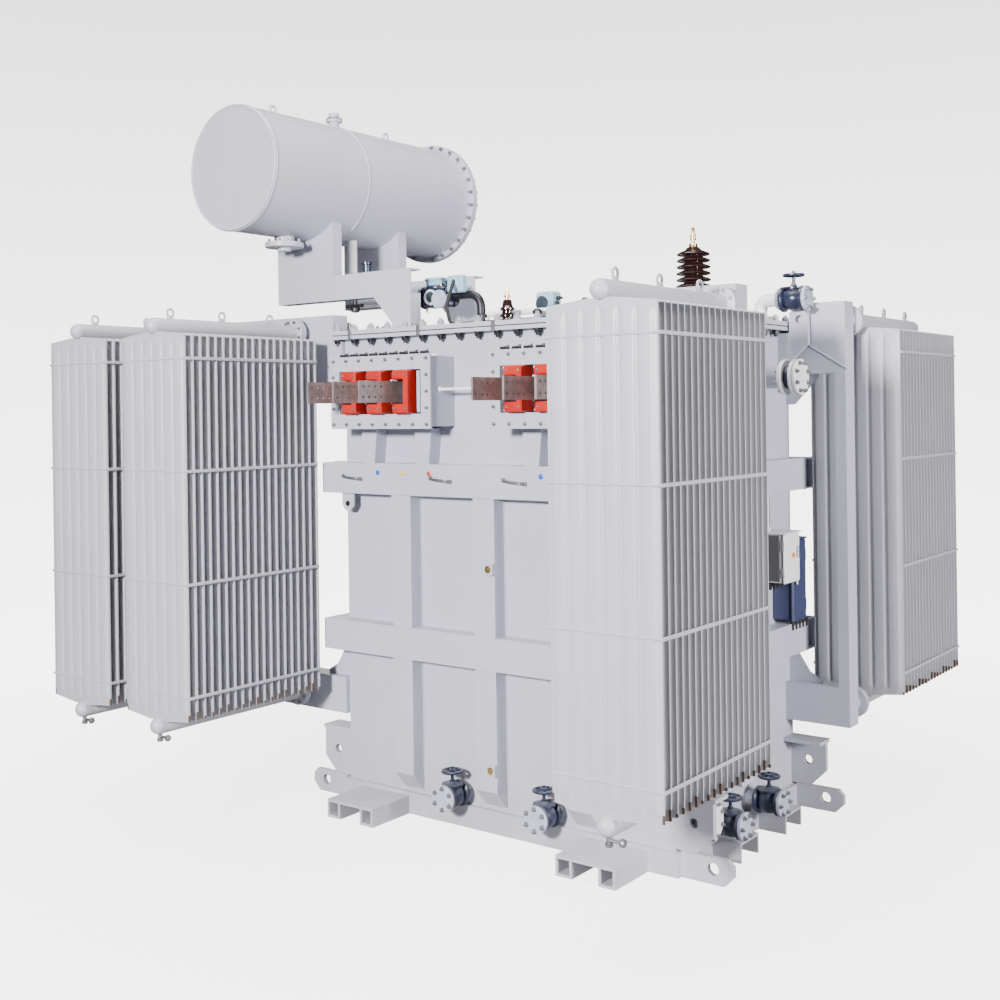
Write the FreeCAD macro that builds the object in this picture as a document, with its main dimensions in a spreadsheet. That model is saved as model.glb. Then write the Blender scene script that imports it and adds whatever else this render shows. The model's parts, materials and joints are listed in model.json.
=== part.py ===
"""Oil-filled power transformer: tank, coolers, conservator, terminals and base.

Frame: origin on the ground under the middle of the tank, +X to the right along
the low-voltage side, +Y towards the back, +Z up. Lengths are millimetres.
"""
import FreeCAD, Part
import os
import Sketcher

DRIVING_SIZES = [
    ("tank_length", 2150, "tank, wall to wall along X"),
    ("tank_depth", 1360, "tank, wall to wall along Y"),
    ("tank_top", 2690, "top of the tank wall above the ground"),
    ("base_height", 120, "skirt frame under the tank"),
    ("base_lip", 30, "skirt frame beyond the tank wall"),
    ("runner_reach", 185, "base runners beyond the end walls"),
    ("runner_width", 200, "one base runner"),
    ("runner_pitch", 520, "between the two base runners"),
    ("runner_wall", 12, "plate of a base runner"),
    ("rim_width", 60, "rim flange beyond the tank wall"),
    ("rim_thick", 20, "rim flange plate"),
    ("gasket_thick", 6, "cover gasket"),
    ("cover_thick", 24, "cover plate"),
    ("beam_height", 175, "ring beam channel"),
    ("beam_depth", 100, "ring beam channel out from the wall"),
    ("beam_wall", 10, "ring beam channel plate"),
    ("lower_beam_level", 880, "underside of the lower ring beam"),
    ("upper_beam_drop", 905, "underside of the upper ring beam below the tank top"),
    ("rib_width", 140, "vertical stiffening rib"),
    ("rib_depth", 90, "rib out from the wall"),
    ("rib_pitch", 580, "between neighbouring ribs"),
    ("rib_foot", 240, "front lower edge of a rib"),
    ("rib_heel", 140, "wall-side lower edge of a rib"),
    ("gusset_top_width", 120, "terminal box gusset at the box"),
    ("gusset_low_width", 80, "terminal box gusset at the beam"),
    ("gusset_pitch", 400, "between the two gussets of a box"),
    ("foot_width", 340, "skid foot across"),
    ("foot_height", 100, "skid foot"),
    ("foot_reach", 300, "skid foot beyond the skirt frame"),
    ("foot_leg", 95, "skid foot leg"),
    ("foot_wall", 14, "skid foot plate"),
    ("foot_spacing", 1540, "between the skid feet of one side"),
    ("lug_thick", 30, "jacking and haulage lug plate"),
    ("lug_reach", 205, "jacking lug beyond the end wall"),
    ("jack_level", 130, "underside of a jacking lug"),
    ("jack_height", 250, "jacking lug plate"),
    ("jack_hole", 50, "jacking lug bore diameter"),
    ("haul_reach", 305, "haulage lug beyond the end wall"),
    ("haul_height", 128, "haulage lug plate"),
    ("haul_hole", 60, "haulage lug bore diameter"),
    ("lift_width", 110, "lifting lug plate"),
    ("lift_height", 210, "lifting lug foot below the tank top"),
    ("lift_rise", 65, "lifting lug above the cover"),
    ("lift_offset", 568, "outer face of a lifting lug off the tank middle"),
    ("lift_thick", 25, "lifting lug plate thickness"),
    ("lift_hole", 45, "lifting lug bore diameter"),
    ("box_length", 735, "terminal box flange along X"),
    ("box_height", 402, "terminal box flange"),
    ("box_depth", 220, "terminal box out from the tank wall"),
    ("box_drop", 535, "underside of a terminal box flange below the tank top"),
    ("box_spacing", 1135, "between the terminal box centres"),
    ("box_shift", -45, "terminal box pair off the tank middle"),
    ("box_rim", 65, "flange border round the box window"),
    ("box_flange", 12, "terminal box flange plate"),
    ("box_wall", 8, "terminal box side plate"),
    ("phase_pitch", 190, "between terminals of one box"),
    ("phase_shift", -17, "middle terminal off the middle of its box"),
    ("moulding_width", 140, "moulded terminal plate"),
    ("moulding_height", 236, "moulded terminal plate"),
    ("moulding_reach", 46, "moulded terminal plate in front of the window"),
    ("busbar_height", 115, "flat terminal bar"),
    ("busbar_thick", 12, "flat terminal bar"),
    ("busbar_reach", 300, "terminal bar in front of the box flange"),
    ("busbar_hole", 14, "terminal bar bolt hole diameter"),
    ("panel_width", 520, "radiator panel along X"),
    ("panel_height", 2030, "radiator panel"),
    ("panel_drop", 15, "top of the radiator panels below the tank top"),
    ("header_rise", 47, "upper radiator header axis above the panels"),
    ("panel_sheet", 3, "radiator panel seam"),
    ("panel_pitch", 52, "between radiator panels"),
    ("panel_count", 19, "panels of one radiator"),
    ("flute_pitch", 84, "between the flutes of a panel"),
    ("flute_width", 76, "flute at the seam"),
    ("flute_crest", 50, "flute at its crest"),
    ("flute_thick", 18, "panel across two opposite flutes"),
    ("flute_count", 6, "flutes of one panel"),
    ("flute_margin", 60, "flute end from the panel end"),
    ("shoulder", 44, "sloped panel shoulder at the header"),
    ("header_diameter", 88, "radiator header pipe"),
    ("header_drop", 45, "lower radiator header axis below the panels"),
    ("tie_height", 16, "radiator tie bar"),
    ("tie_thick", 8, "radiator tie bar out from the panels"),
    ("radiator_gap", 150, "between the two radiators of the left duct"),
    ("inset_right", 62, "right radiator out from the end wall"),
    ("inset_left", 75, "first left radiator out from the end wall"),
    ("radiator_stand", 170, "first radiator panel out from the tank's long wall"),
    ("duct_width", 120, "cooler duct along Y"),
    ("duct_out", 30, "cooler duct beyond the tank's long wall"),
    ("upper_duct_height", 392, "upper cooler duct"),
    ("upper_duct_rise", 98, "upper duct above the header axis"),
    ("lower_duct_height", 210, "lower cooler duct"),
    ("lower_duct_rise", 105, "lower duct above the header axis"),
    ("duct_overrun", 5, "cooler duct past the last pipe"),
    ("duct_neck", 60, "flanged neck on the duct"),
    ("neck_diameter", 90, "pipe between duct and radiator"),
    ("neck_flange", 170, "flange diameter between duct and radiator"),
    ("flange_thick", 18, "pipe flange plate"),
    ("brace_reach", 190, "duct brace along the duct"),
    ("brace_rise", 170, "duct brace along the wall"),
    ("column_width", 60, "post between the right ducts"),
    ("drum_diameter", 727, "conservator outside diameter"),
    ("drum_length", 1780, "conservator along Y"),
    ("drum_wall", 8, "conservator shell plate"),
    ("drum_center_x", -1525, "conservator axis off the tank middle"),
    ("drum_rise", 950, "conservator axis above the cover"),
    ("drum_front", -1130, "conservator near end off the tank middle"),
    ("drum_rim", 36, "conservator flange beyond its shell"),
    ("saddle_thick", 16, "conservator saddle plate"),
    ("saddle_setback", 14, "saddle plate behind the face of its arm"),
    ("saddle_width", 480, "conservator saddle plate along X"),
    ("saddle_front", -530, "front saddle off the tank middle"),
    ("saddle_back", 60, "back saddle off the tank middle"),
    ("arm_height", 150, "conservator support arm"),
    ("arm_width", 90, "conservator support arm along Y"),
    ("arm_rise", 200, "underside of the support arms above the cover"),
    ("arm_left", -1750, "outer end of the support arms"),
    ("arm_right", -660, "inner end of the support arms"),
    ("post_length", 285, "conservator post along X"),
    ("oil_pipe", 60, "oil pipe diameter"),
    ("relay_x", -680, "oil relay off the tank middle"),
    ("relay_y", -300, "oil relay off the tank middle"),
    ("relay_rise", 200, "oil relay axis above the cover"),
    ("hv_x", 685, "high-voltage bushing off the tank middle"),
    ("hv_y", 300, "high-voltage bushing off the tank middle"),
    ("shed_radius", 100, "high-voltage bushing shed"),
    ("shed_pitch", 36, "between the bushing sheds"),
    ("shed_count", 6, "sheds of the high-voltage bushing"),
    ("stud_diameter", 20, "high-voltage terminal stud"),
    ("stud_length", 90, "high-voltage terminal stud above its cap"),
    ("turret_height", 175, "high-voltage turret on the cover"),
    ("valve_bore", 72, "base valve pipe diameter"),
    ("valve_flange", 140, "base valve flange diameter"),
    ("valve_reach", 150, "base valve face out from the skirt frame"),
    ("spool_flange", 185, "top spool flange diameter"),
    ("spool_reach", 335, "top spool out from the end wall"),
    ("spool_drop", 290, "top spool axis below the tank top"),
    ("panel_box_width", 190, "marshalling box along Y"),
    ("panel_box_height", 272, "marshalling box"),
    ("panel_box_depth", 175, "marshalling box out from the wall"),
    ("panel_box_level", 1305, "underside of the marshalling box"),
    ("cabinet_width", 175, "control cabinet along Y"),
    ("cabinet_height", 455, "control cabinet"),
    ("cabinet_depth", 125, "control cabinet out from the wall"),
    ("cabinet_level", 1070, "underside of the control cabinet"),
    ("earth_pad", 60, "earthing pad"),
]


class Size:
    """A length that knows its value and the sheet formula that drives it."""

    def __init__(self, value, formula):
        self.value = value
        self.formula = formula

    def joined(self, mark, other, value):
        return Size(value, f"({self.formula} {mark} {size(other).formula})")

    def __add__(self, other):
        return self.joined("+", other, self.value + size(other).value)

    def __radd__(self, other):
        return size(other) + self

    def __sub__(self, other):
        return self.joined("-", other, self.value - size(other).value)

    def __rsub__(self, other):
        return size(other) - self

    def __mul__(self, other):
        return self.joined("*", other, self.value * size(other).value)

    def __rmul__(self, other):
        return size(other) * self

    def __truediv__(self, other):
        return self.joined("/", other, self.value / size(other).value)

    def __neg__(self):
        return size(-1) * self


def size(number):
    """Let plain numbers and Sizes stand in the same sums."""
    return number if isinstance(number, Size) else Size(number, f"({number})")


doc = FreeCAD.newDocument("PowerTransformer")
sheet = doc.addObject("Spreadsheet::Sheet", "Sizes")


class Sizes:
    """Every driving size by its name, such as S.tank_length."""


S = Sizes()
for row, (alias, number, meaning) in enumerate(DRIVING_SIZES, start=1):
    sheet.set(f"A{row}", meaning)
    sheet.set(f"B{row}", str(number))
    sheet.setAlias(f"B{row}", alias)
    setattr(S, alias, Size(number, f"Sizes.{alias}"))
doc.recompute()

X, Y, Z = FreeCAD.Vector(1, 0, 0), FreeCAD.Vector(0, 1, 0), FreeCAD.Vector(0, 0, 1)
SIDES = {"left": -1, "right": 1}
ENDS = {"front": -1, "back": 1}
subparts = []


# ---------------------------------------------------------------- building blocks

def bind(piece, prop, length):
    piece.setExpression(prop, size(length).formula)


def place(piece, at, turn=None):
    """Bind a piece's place to the sheet, after an optional fixed turn."""
    if turn is not None:
        piece.Placement = FreeCAD.Placement(FreeCAD.Vector(), turn)
    for axis, length in zip("xyz", at):
        bind(piece, f".Placement.Base.{axis}", length)
    return piece


def block(span_x, span_y, span_z, name="block"):
    """Box between two planes on each axis."""
    box = doc.addObject("Part::Box", name)
    for prop, (low, high) in zip(("Length", "Width", "Height"), (span_x, span_y, span_z)):
        bind(box, prop, size(high) - low)
    return place(box, (span_x[0], span_y[0], span_z[0]))


def rod(radius, length, at, along=Z, name="rod"):
    """Cylinder from a point along a direction."""
    cylinder = doc.addObject("Part::Cylinder", name)
    bind(cylinder, "Radius", radius)
    bind(cylinder, "Height", length)
    return place(cylinder, at, FreeCAD.Rotation(Z, along))


def ball(radius, at, name="ball"):
    sphere = doc.addObject("Part::Sphere", name)
    bind(sphere, "Radius", radius)
    return place(sphere, at)


def pipe_run(radius, points, name="run"):
    """Pipe of straight runs with a mitred bend, as a ball, at each corner."""
    runs = []
    for start, end in zip(points, points[1:]):
        steps = [size(b) - a for a, b in zip(start, end)]
        axis = max(range(3), key=lambda i: abs(steps[i].value))
        forward = 1 if steps[axis].value > 0 else -1
        runs.append(rod(radius, steps[axis] * forward, start, (X, Y, Z)[axis] * forward))
    bends = [ball(radius, corner) for corner in points[1:-1]]
    return fused(runs + bends, name)


def fused(pieces, name="fused"):
    union = doc.addObject("Part::MultiFuse", name)
    union.Shapes = pieces
    return union


def cut(base, tools, name="cut"):
    """Base with every tool taken away."""
    difference = doc.addObject("Part::Cut", name)
    difference.Base = base
    difference.Tool = tools[0] if len(tools) == 1 else fused(tools)
    return difference


def kept_apart(pieces, name="set"):
    """Several solids in one object, none of them joined."""
    compound = doc.addObject("Part::Compound", name)
    compound.Links = pieces
    return compound


def copied(piece, at, turn=None, name="copy"):
    return place(kept_apart([piece], name), at, turn)


def mirrored(piece, normal, name="mirrored"):
    image = doc.addObject("Part::Mirroring", name)
    image.Source = piece
    image.Normal = normal
    image.Base = FreeCAD.Vector()
    return image


def sketched(body, plane, outline, holes=()):
    """Sketch on a body's own plane, every corner and hole centre tied to the sheet."""
    planes = {feature.Role: feature for feature in body.Origin.OriginFeatures}
    sketch = body.newObject("Sketcher::SketchObject", f"{body.Name}_sketch")
    sketch.AttachmentSupport = [(planes[f"{plane}_Plane"], "")]
    sketch.MapMode = "FlatFace"
    corners = [(size(u), size(v)) for u, v in outline]
    count = len(corners)
    for index, (u, v) in enumerate(corners):
        next_u, next_v = corners[(index + 1) % count]
        start = FreeCAD.Vector(u.value, v.value, 0)
        end = FreeCAD.Vector(next_u.value, next_v.value, 0)
        sketch.addGeometry(Part.LineSegment(start, end), False)
    for index in range(count):
        sketch.addConstraint(Sketcher.Constraint("Coincident", index, 2, (index + 1) % count, 1))
    anchors = [(index, 1, corner) for index, corner in enumerate(corners)]
    for radius, centre in holes:
        centre = (size(centre[0]), size(centre[1]))
        middle = FreeCAD.Vector(centre[0].value, centre[1].value, 0)
        circle = sketch.addGeometry(Part.Circle(middle, Z, size(radius).value), False)
        tie = sketch.addConstraint(Sketcher.Constraint("Radius", circle, size(radius).value))
        bind(sketch, f"Constraints[{tie}]", radius)
        anchors.append((circle, 3, centre))
    for index, point, corner in anchors:
        for kind, length in zip(("DistanceX", "DistanceY"), corner):
            tie = sketch.addConstraint(
                Sketcher.Constraint(kind, -1, 1, index, point, float(length.value)))
            bind(sketch, f"Constraints[{tie}]", length)
    return sketch


def padded(plane, outline, thickness, start, holes=(), name="plate"):
    """Plate of any outline in a principal plane, from `start` on in the plane's plus direction."""
    body = doc.addObject("PartDesign::Body", name)
    pad = body.newObject("PartDesign::Pad", f"{name}_pad")
    pad.Profile = sketched(body, plane, outline, holes)
    pad.Reversed = plane == "XZ"
    bind(pad, "Length", thickness)
    axis = {"YZ": "x", "XZ": "y", "XY": "z"}[plane]
    bind(body, f".Placement.Base.{axis}", start)
    return body


def turned(outline, at, along=Z, name="turned"):
    """Body of revolution: outline in (radius, height), spun about the direction `along`."""
    body = doc.addObject("PartDesign::Body", name)
    profile = sketched(body, "XZ", outline)
    spin = body.newObject("PartDesign::Revolution", f"{name}_spin")
    spin.Profile = profile
    spin.ReferenceAxis = (profile, ["V_Axis"])
    spin.Angle = 360
    return place(body, at, FreeCAD.Rotation(Z, along))


def stepped(steps, at, along=Z, name="stepped"):
    """Turned body from (radius, length) steps, one after the other."""
    outline = [(0, 0)]
    reached = size(0)
    for radius, length in steps:
        outline += [(radius, reached), (radius, reached + length)]
        reached = reached + length
    return turned(outline + [(0, reached)], at, along, name)


def keep(piece, name):
    """Name a finished sub-part."""
    piece.Label = name
    subparts.append(piece)
    return piece


# ---------------------------------------------------------------- shared places

HALF_LENGTH = S.tank_length / 2
HALF_DEPTH = S.tank_depth / 2
RIM_X = HALF_LENGTH + S.rim_width
RIM_Y = HALF_DEPTH + S.rim_width
GASKET_LEVEL = S.tank_top
COVER_LEVEL = S.tank_top + S.gasket_thick
COVER_TOP = COVER_LEVEL + S.cover_thick
SKIRT_X = HALF_LENGTH + S.base_lip
SKIRT_Y = HALF_DEPTH + S.base_lip
BEAM_X = HALF_LENGTH + S.beam_depth
BEAM_Y = HALF_DEPTH + S.beam_depth
LOWER_BEAM_TOP = S.lower_beam_level + S.beam_height
UPPER_BEAM_LEVEL = S.tank_top - S.upper_beam_drop
UPPER_BEAM_TOP = UPPER_BEAM_LEVEL + S.beam_height
BOX_LEVEL = S.tank_top - S.box_drop


# ---------------------------------------------------------------- tank and base

def tank():
    """Closed tank, filled: core, windings and oil are inside it."""
    keep(block((-HALF_LENGTH, HALF_LENGTH), (-HALF_DEPTH, HALF_DEPTH),
               (S.base_height, S.tank_top)), "tank")


def ring(outer_x, outer_y, inner_x, inner_y, low, high):
    """Rectangular frame lying flat round the tank."""
    outer = block((-outer_x, outer_x), (-outer_y, outer_y), (low, high))
    inner = block((-inner_x, inner_x), (-inner_y, inner_y), (low - 1, high + 1))
    return cut(outer, [inner])


def tank_top_joint():
    keep(ring(RIM_X, RIM_Y, HALF_LENGTH, HALF_DEPTH, S.tank_top - S.rim_thick, S.tank_top),
         "tank_rim")
    inset = 8
    keep(ring(RIM_X - inset, RIM_Y - inset, HALF_LENGTH - inset, HALF_DEPTH - inset,
              GASKET_LEVEL, COVER_LEVEL), "cover_gasket")
    keep(block((-RIM_X, RIM_X), (-RIM_Y, RIM_Y), (COVER_LEVEL, COVER_TOP)), "tank_cover")


def base_frame():
    """Skirt frame, and the ends of its two runners that stand out at both end walls."""
    keep(block((-SKIRT_X, SKIRT_X), (-SKIRT_Y, SKIRT_Y), (0, S.base_height)), "base_frame")
    tip = HALF_LENGTH + S.runner_reach
    top = S.base_height - 20
    ends = []
    for row in (-1, 1):
        middle = row * S.runner_pitch / 2
        near, far = middle - S.runner_width / 2, middle + S.runner_width / 2
        ends.append(fused([
            block((SKIRT_X, tip), (near, far), (top - S.runner_wall, top)),
            block((SKIRT_X, tip), (near, near + S.runner_wall), (0, top)),
            block((SKIRT_X, tip), (far - S.runner_wall, far), (0, top)),
        ]))
    keep(kept_apart(ends + [mirrored(end, X) for end in ends]), "base_runners")


def channel(span_x, low, name="channel"):
    """Front channel beam with its web outwards and its open side at the wall."""
    high = low + S.beam_height
    outer = block(span_x, (-BEAM_Y, -HALF_DEPTH), (low, high))
    hollow = block((size(span_x[0]) - 1, size(span_x[1]) + 1),
                   (-BEAM_Y + S.beam_wall, 1 - HALF_DEPTH), (low + S.beam_wall, high - S.beam_wall))
    return cut(outer, [hollow], name)


def ring_beam(low, name):
    """Four channels round the tank; the long ones run past the corners with open ends."""
    high = low + S.beam_height
    front = channel((-BEAM_X, BEAM_X), low)
    side = block((HALF_LENGTH, BEAM_X), (-HALF_DEPTH, HALF_DEPTH), (low, high))
    hollow = block((HALF_LENGTH - 1, BEAM_X - S.beam_wall), (-HALF_DEPTH - 1, HALF_DEPTH + 1),
                   (low + S.beam_wall, high - S.beam_wall))
    right = cut(side, [hollow])
    keep(fused([front, mirrored(front, Y), right, mirrored(right, X)]), name)


def ribs():
    """Box ribs between and below the ring beams; the lowest ends are closed on a slant."""
    wall, face = -HALF_DEPTH, -HALF_DEPTH - S.rib_depth
    segments = []
    for column in (-1, 0, 1):
        left = column * S.rib_pitch - S.rib_width / 2
        outline = [(face, S.rib_foot), (wall, S.rib_heel),
                   (wall, S.lower_beam_level), (face, S.lower_beam_level)]
        segments.append(padded("YZ", outline, S.rib_width, left, name="rib"))
        segments.append(block((left, left + S.rib_width), (face, wall),
                              (LOWER_BEAM_TOP, UPPER_BEAM_LEVEL)))
    pads = []
    for level in (LOWER_BEAM_TOP + 330, S.rib_foot + 90):
        pads.append(block((S.rib_width / 2 - S.earth_pad, S.rib_width / 2),
                          (face - 20, face), (level, level + S.earth_pad)))
    front = kept_apart(segments)
    keep(front, "front_ribs")
    keep(mirrored(front, Y), "back_ribs")
    keep(kept_apart(pads), "earth_pads")


def terminal_gussets():
    """Tapered stiffeners that carry the terminal boxes on the upper ring beam."""
    wall = -HALF_DEPTH
    top, low = BOX_LEVEL, UPPER_BEAM_TOP
    plates = []
    for side in (-1, 1):
        for place_in_pair in (-1, 1):
            middle = S.box_shift + side * S.box_spacing / 2 + place_in_pair * S.gusset_pitch / 2
            outline = [(middle - S.gusset_low_width / 2, low), (middle + S.gusset_low_width / 2, low),
                       (middle + S.gusset_top_width / 2, top), (middle - S.gusset_top_width / 2, top)]
            plates.append(padded("XZ", outline, S.rib_depth, wall - S.rib_depth, name="gusset"))
    keep(kept_apart(plates), "terminal_gussets")


def skid_feet():
    """Inverted channel feet, two in front and two behind, open towards the outside."""
    near, tip = -SKIRT_Y, -SKIRT_Y - S.foot_reach
    feet = []
    for side in (-1, 1):
        middle = side * S.foot_spacing / 2
        left, right = middle - S.foot_width / 2, middle + S.foot_width / 2
        solid = block((left, right), (tip, near), (0, S.foot_height))
        top = S.foot_height - S.foot_wall
        slot = block((left + S.foot_leg, right - S.foot_leg), (tip - 1, near - S.foot_wall), (-1, top))
        pockets = [
            block((left + S.foot_wall, left + S.foot_leg - S.foot_wall),
                  (tip - 1, near - S.foot_wall), (S.foot_wall, top)),
            block((right - S.foot_leg + S.foot_wall, right - S.foot_wall),
                  (tip - 1, near - S.foot_wall), (S.foot_wall, top)),
        ]
        feet.append(cut(solid, [slot] + pockets, "foot"))
    front = kept_apart(feet)
    keep(front, "feet_front")
    keep(mirrored(front, Y), "feet_back")


def base_lugs():
    """Jacking and haulage lugs in the planes of the long walls, at the four corners."""
    tip = HALF_LENGTH + S.lug_reach
    low, high = S.jack_level, S.jack_level + S.jack_height
    chamfer = 90
    outline = [(HALF_LENGTH, low), (tip - chamfer, low), (tip, low + chamfer), (tip, high),
               (HALF_LENGTH, high)]
    bore = [(S.jack_hole / 2, (tip - 105, low + 140))]
    web = padded("XZ", outline, S.lug_thick, -HALF_DEPTH, bore, name="jack_web")
    shelf = block((HALF_LENGTH, tip + 12), (-HALF_DEPTH, -HALF_DEPTH + 130), (high, high + 20))
    jack = fused([web, shelf])
    keep(kept_apart([jack, mirrored(jack, X), mirrored(jack, Y), copied(jack, (0, 0, 0), TURN_BACK)]),
         "jacking_lugs")
    tip = HALF_LENGTH + S.haul_reach
    cut_back = 50
    outline = [(SKIRT_X, 0), (tip - cut_back, 0), (tip, cut_back), (tip, S.haul_height - 30),
               (tip - 30, S.haul_height), (SKIRT_X, S.haul_height)]
    bore = [(S.haul_hole / 2, (tip - 105, S.haul_height / 2 + 8))]
    haul = padded("XZ", outline, S.lug_thick, -HALF_DEPTH, bore, name="haul")
    keep(kept_apart([haul, mirrored(haul, X), mirrored(haul, Y), copied(haul, (0, 0, 0), TURN_BACK)]),
         "haulage_lugs")


TURN_BACK = FreeCAD.Rotation(Z, 180)


def lifting_lugs():
    """Hooked lugs on the end walls, cranked round the rim so that their bores clear the cover."""
    wall, top = HALF_LENGTH, S.tank_top
    clear = RIM_X + 10
    under = top - S.rim_thick - 15
    tip = clear + S.lift_width
    high = COVER_TOP + S.lift_rise
    outline = [(wall, top - S.lift_height), (wall + 60, top - S.lift_height), (tip, under - 60), (tip, high - 32),
               (tip - 32, high), (clear + 20, high), (clear, high - 20), (clear, under), (wall, under)]
    bore = [(S.lift_hole / 2, (clear + S.lift_width / 2, high - S.lift_width / 2))]
    lug = padded("XZ", outline, S.lift_thick, -S.lift_offset, bore, name="lift")
    keep(kept_apart([lug, mirrored(lug, X), mirrored(lug, Y), copied(lug, (0, 0, 0), TURN_BACK)]),
         "lifting_lugs")


# ---------------------------------------------------------------- low-voltage terminals

def terminal_box(side_name, side):
    """Box on the front wall, its moulded terminal plates and the flat bars through them."""
    middle = S.box_shift + side * S.box_spacing / 2
    left, right = middle - S.box_length / 2, middle + S.box_length / 2
    low, high = BOX_LEVEL, BOX_LEVEL + S.box_height
    wall, face = -HALF_DEPTH, -HALF_DEPTH - S.box_depth
    in_x, in_z = 12, 12
    shell = block((left + in_x, right - in_x), (face, wall), (low + in_z, high - in_z))
    flange = block((left, right), (face, face + S.box_flange), (low, high))
    window = block((left + S.box_rim, right - S.box_rim), (face - 1, wall - S.box_wall),
                   (low + S.box_rim + 16, high - S.box_rim - 16))
    keep(cut(fused([shell, flange]), [window]), f"terminal_box_{side_name}")

    mouldings, bars = [], []
    centre_z = low + S.box_height / 2
    for phase in (-1, 0, 1):
        at_x = middle + S.phase_shift + phase * S.phase_pitch
        corner = 26
        half_w, half_h = S.moulding_width / 2, S.moulding_height / 2
        outline = [(at_x - half_w + corner, centre_z - half_h), (at_x + half_w - corner, centre_z - half_h),
                   (at_x + half_w, centre_z - half_h + corner), (at_x + half_w, centre_z + half_h - corner),
                   (at_x + half_w - corner, centre_z + half_h), (at_x - half_w + corner, centre_z + half_h),
                   (at_x - half_w, centre_z + half_h - corner), (at_x - half_w, centre_z - half_h + corner)]
        depth = S.moulding_reach + S.box_depth - S.box_wall
        plate = padded("XZ", outline, depth, face - S.moulding_reach, name="moulding")
        bar_x = at_x - 45
        bar_low, bar_high = centre_z - S.busbar_height / 2, centre_z + S.busbar_height / 2
        slot = block((bar_x, bar_x + S.busbar_thick), (face - S.moulding_reach - 1, face + 100),
                     (bar_low, bar_high))
        border = 26
        recess = block((at_x - half_w + border, at_x + half_w - border),
                       (face - S.moulding_reach - 1, face + 60),
                       (centre_z - half_h + border, centre_z + half_h - border))
        mouldings.append(cut(plate, [slot, recess]))
        tip = face - S.busbar_reach
        holes = [(S.busbar_hole / 2, (tip + 30 + 45 * column, centre_z + row * 28))
                 for column in range(4) for row in (-1, 1)]
        outline = [(tip, bar_low), (face + 100, bar_low), (face + 100, bar_high), (tip, bar_high)]
        bars.append(padded("YZ", outline, S.busbar_thick, bar_x, holes, name="bar"))
    keep(kept_apart(mouldings), f"terminal_plates_{side_name}")
    keep(kept_apart(bars), f"busbars_{side_name}")


# ---------------------------------------------------------------- radiators and ducts

HEADER_R = S.header_diameter / 2
PANEL_TOP = S.tank_top - S.panel_drop
PANEL_LEVEL = PANEL_TOP - S.panel_height
TOP_HEADER = PANEL_TOP + S.header_rise
LOW_HEADER = PANEL_LEVEL - S.header_drop
STACK = S.panel_pitch * (S.panel_count - 1)


def radiator_panel():
    """One pressed panel: flat seam plate with sloped shoulders and flutes on both sides."""
    half = S.panel_width / 2
    reach = 70
    outline = [(-half, PANEL_LEVEL), (-reach, PANEL_LEVEL), (-reach + S.shoulder, LOW_HEADER),
               (reach - S.shoulder, LOW_HEADER), (reach, PANEL_LEVEL), (half, PANEL_LEVEL),
               (half, PANEL_TOP), (reach, PANEL_TOP), (reach - S.shoulder, TOP_HEADER),
               (-reach + S.shoulder, TOP_HEADER), (-reach, PANEL_TOP), (-half, PANEL_TOP)]
    sheet_plate = padded("XZ", outline, S.panel_sheet, -S.panel_sheet / 2, name="seam_plate")
    flutes = []
    for index in range(S.flute_count.value):
        middle = (index - (S.flute_count - 1) / 2) * S.flute_pitch
        base, crest = S.flute_width / 2, S.flute_crest / 2
        rise = S.flute_thick / 2
        section = [(middle - base, 0), (middle - crest, -rise), (middle + crest, -rise),
                   (middle + base, 0), (middle + crest, rise), (middle - crest, rise)]
        flute = padded("XY", section, S.panel_height - 2 * S.flute_margin,
                       PANEL_LEVEL + S.flute_margin, name="flute")
        flutes.append(flute)
    return fused([sheet_plate] + flutes, "radiator_panel")


def radiator():
    """Welded radiator with its first panel at Y 0 and its last at +Y, headers top and bottom."""
    panel = radiator_panel()
    panels = [copied(panel, (0, index * S.panel_pitch, 0)) for index in range(S.panel_count.value)]
    headers = []
    for level in (TOP_HEADER, LOW_HEADER):
        headers.append(rod(HEADER_R, STACK, (0, 0, level), Y))
        headers.extend(ball(HEADER_R, (0, end, level)) for end in (0, STACK))
    drain = rod(14, 46, (0, 10, LOW_HEADER - HEADER_R - 40))
    ties = []
    half = S.panel_width / 2
    for level in (0.06, 0.35, 0.64, 0.93):
        low = PANEL_LEVEL + S.panel_height * level
        for near in (-half - S.tie_thick, half):
            ties.append(block((near, near + S.tie_thick), (-S.panel_sheet, STACK + S.panel_sheet),
                              (low, low + S.tie_height)))
    eyes = []
    for share in (0.12, 0.5, 0.88):
        at_y = STACK * share
        high = TOP_HEADER + HEADER_R
        outline = [(at_y - 24, high - 6), (at_y + 24, high - 6), (at_y + 24, high + 42),
                   (at_y + 14, high + 58), (at_y - 14, high + 58), (at_y - 24, high + 42)]
        eyes.append(padded("YZ", outline, 12, -6, [(13, (at_y, high + 32))], name="eye"))
    necks = []
    stub = S.radiator_stand - S.duct_out - S.duct_neck
    for level in (TOP_HEADER, LOW_HEADER):
        necks.append(rod(S.neck_diameter / 2, stub, (0, STACK, level), Y))
        necks.append(rod(S.neck_flange / 2, S.flange_thick, (0, STACK + stub - S.flange_thick, level), Y))
    return fused(panels + headers + [drain] + ties + eyes + necks, "radiator_master")


RADIATOR_X = {
    "right": HALF_LENGTH + S.inset_right + S.panel_width / 2,
    "left_inner": -HALF_LENGTH - S.inset_left - S.panel_width / 2,
    "left_outer": -HALF_LENGTH - S.inset_left - S.panel_width * 1.5 - S.radiator_gap,
}
FIRST_PANEL_Y = HALF_DEPTH + S.radiator_stand


def radiators():
    master = radiator()
    for name, at_x in RADIATOR_X.items():
        keep(copied(master, (at_x, -FIRST_PANEL_Y - STACK, 0)), f"radiator_front_{name}")
        keep(copied(master, (at_x, FIRST_PANEL_Y + STACK, 0), TURN_BACK), f"radiator_back_{name}")


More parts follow.
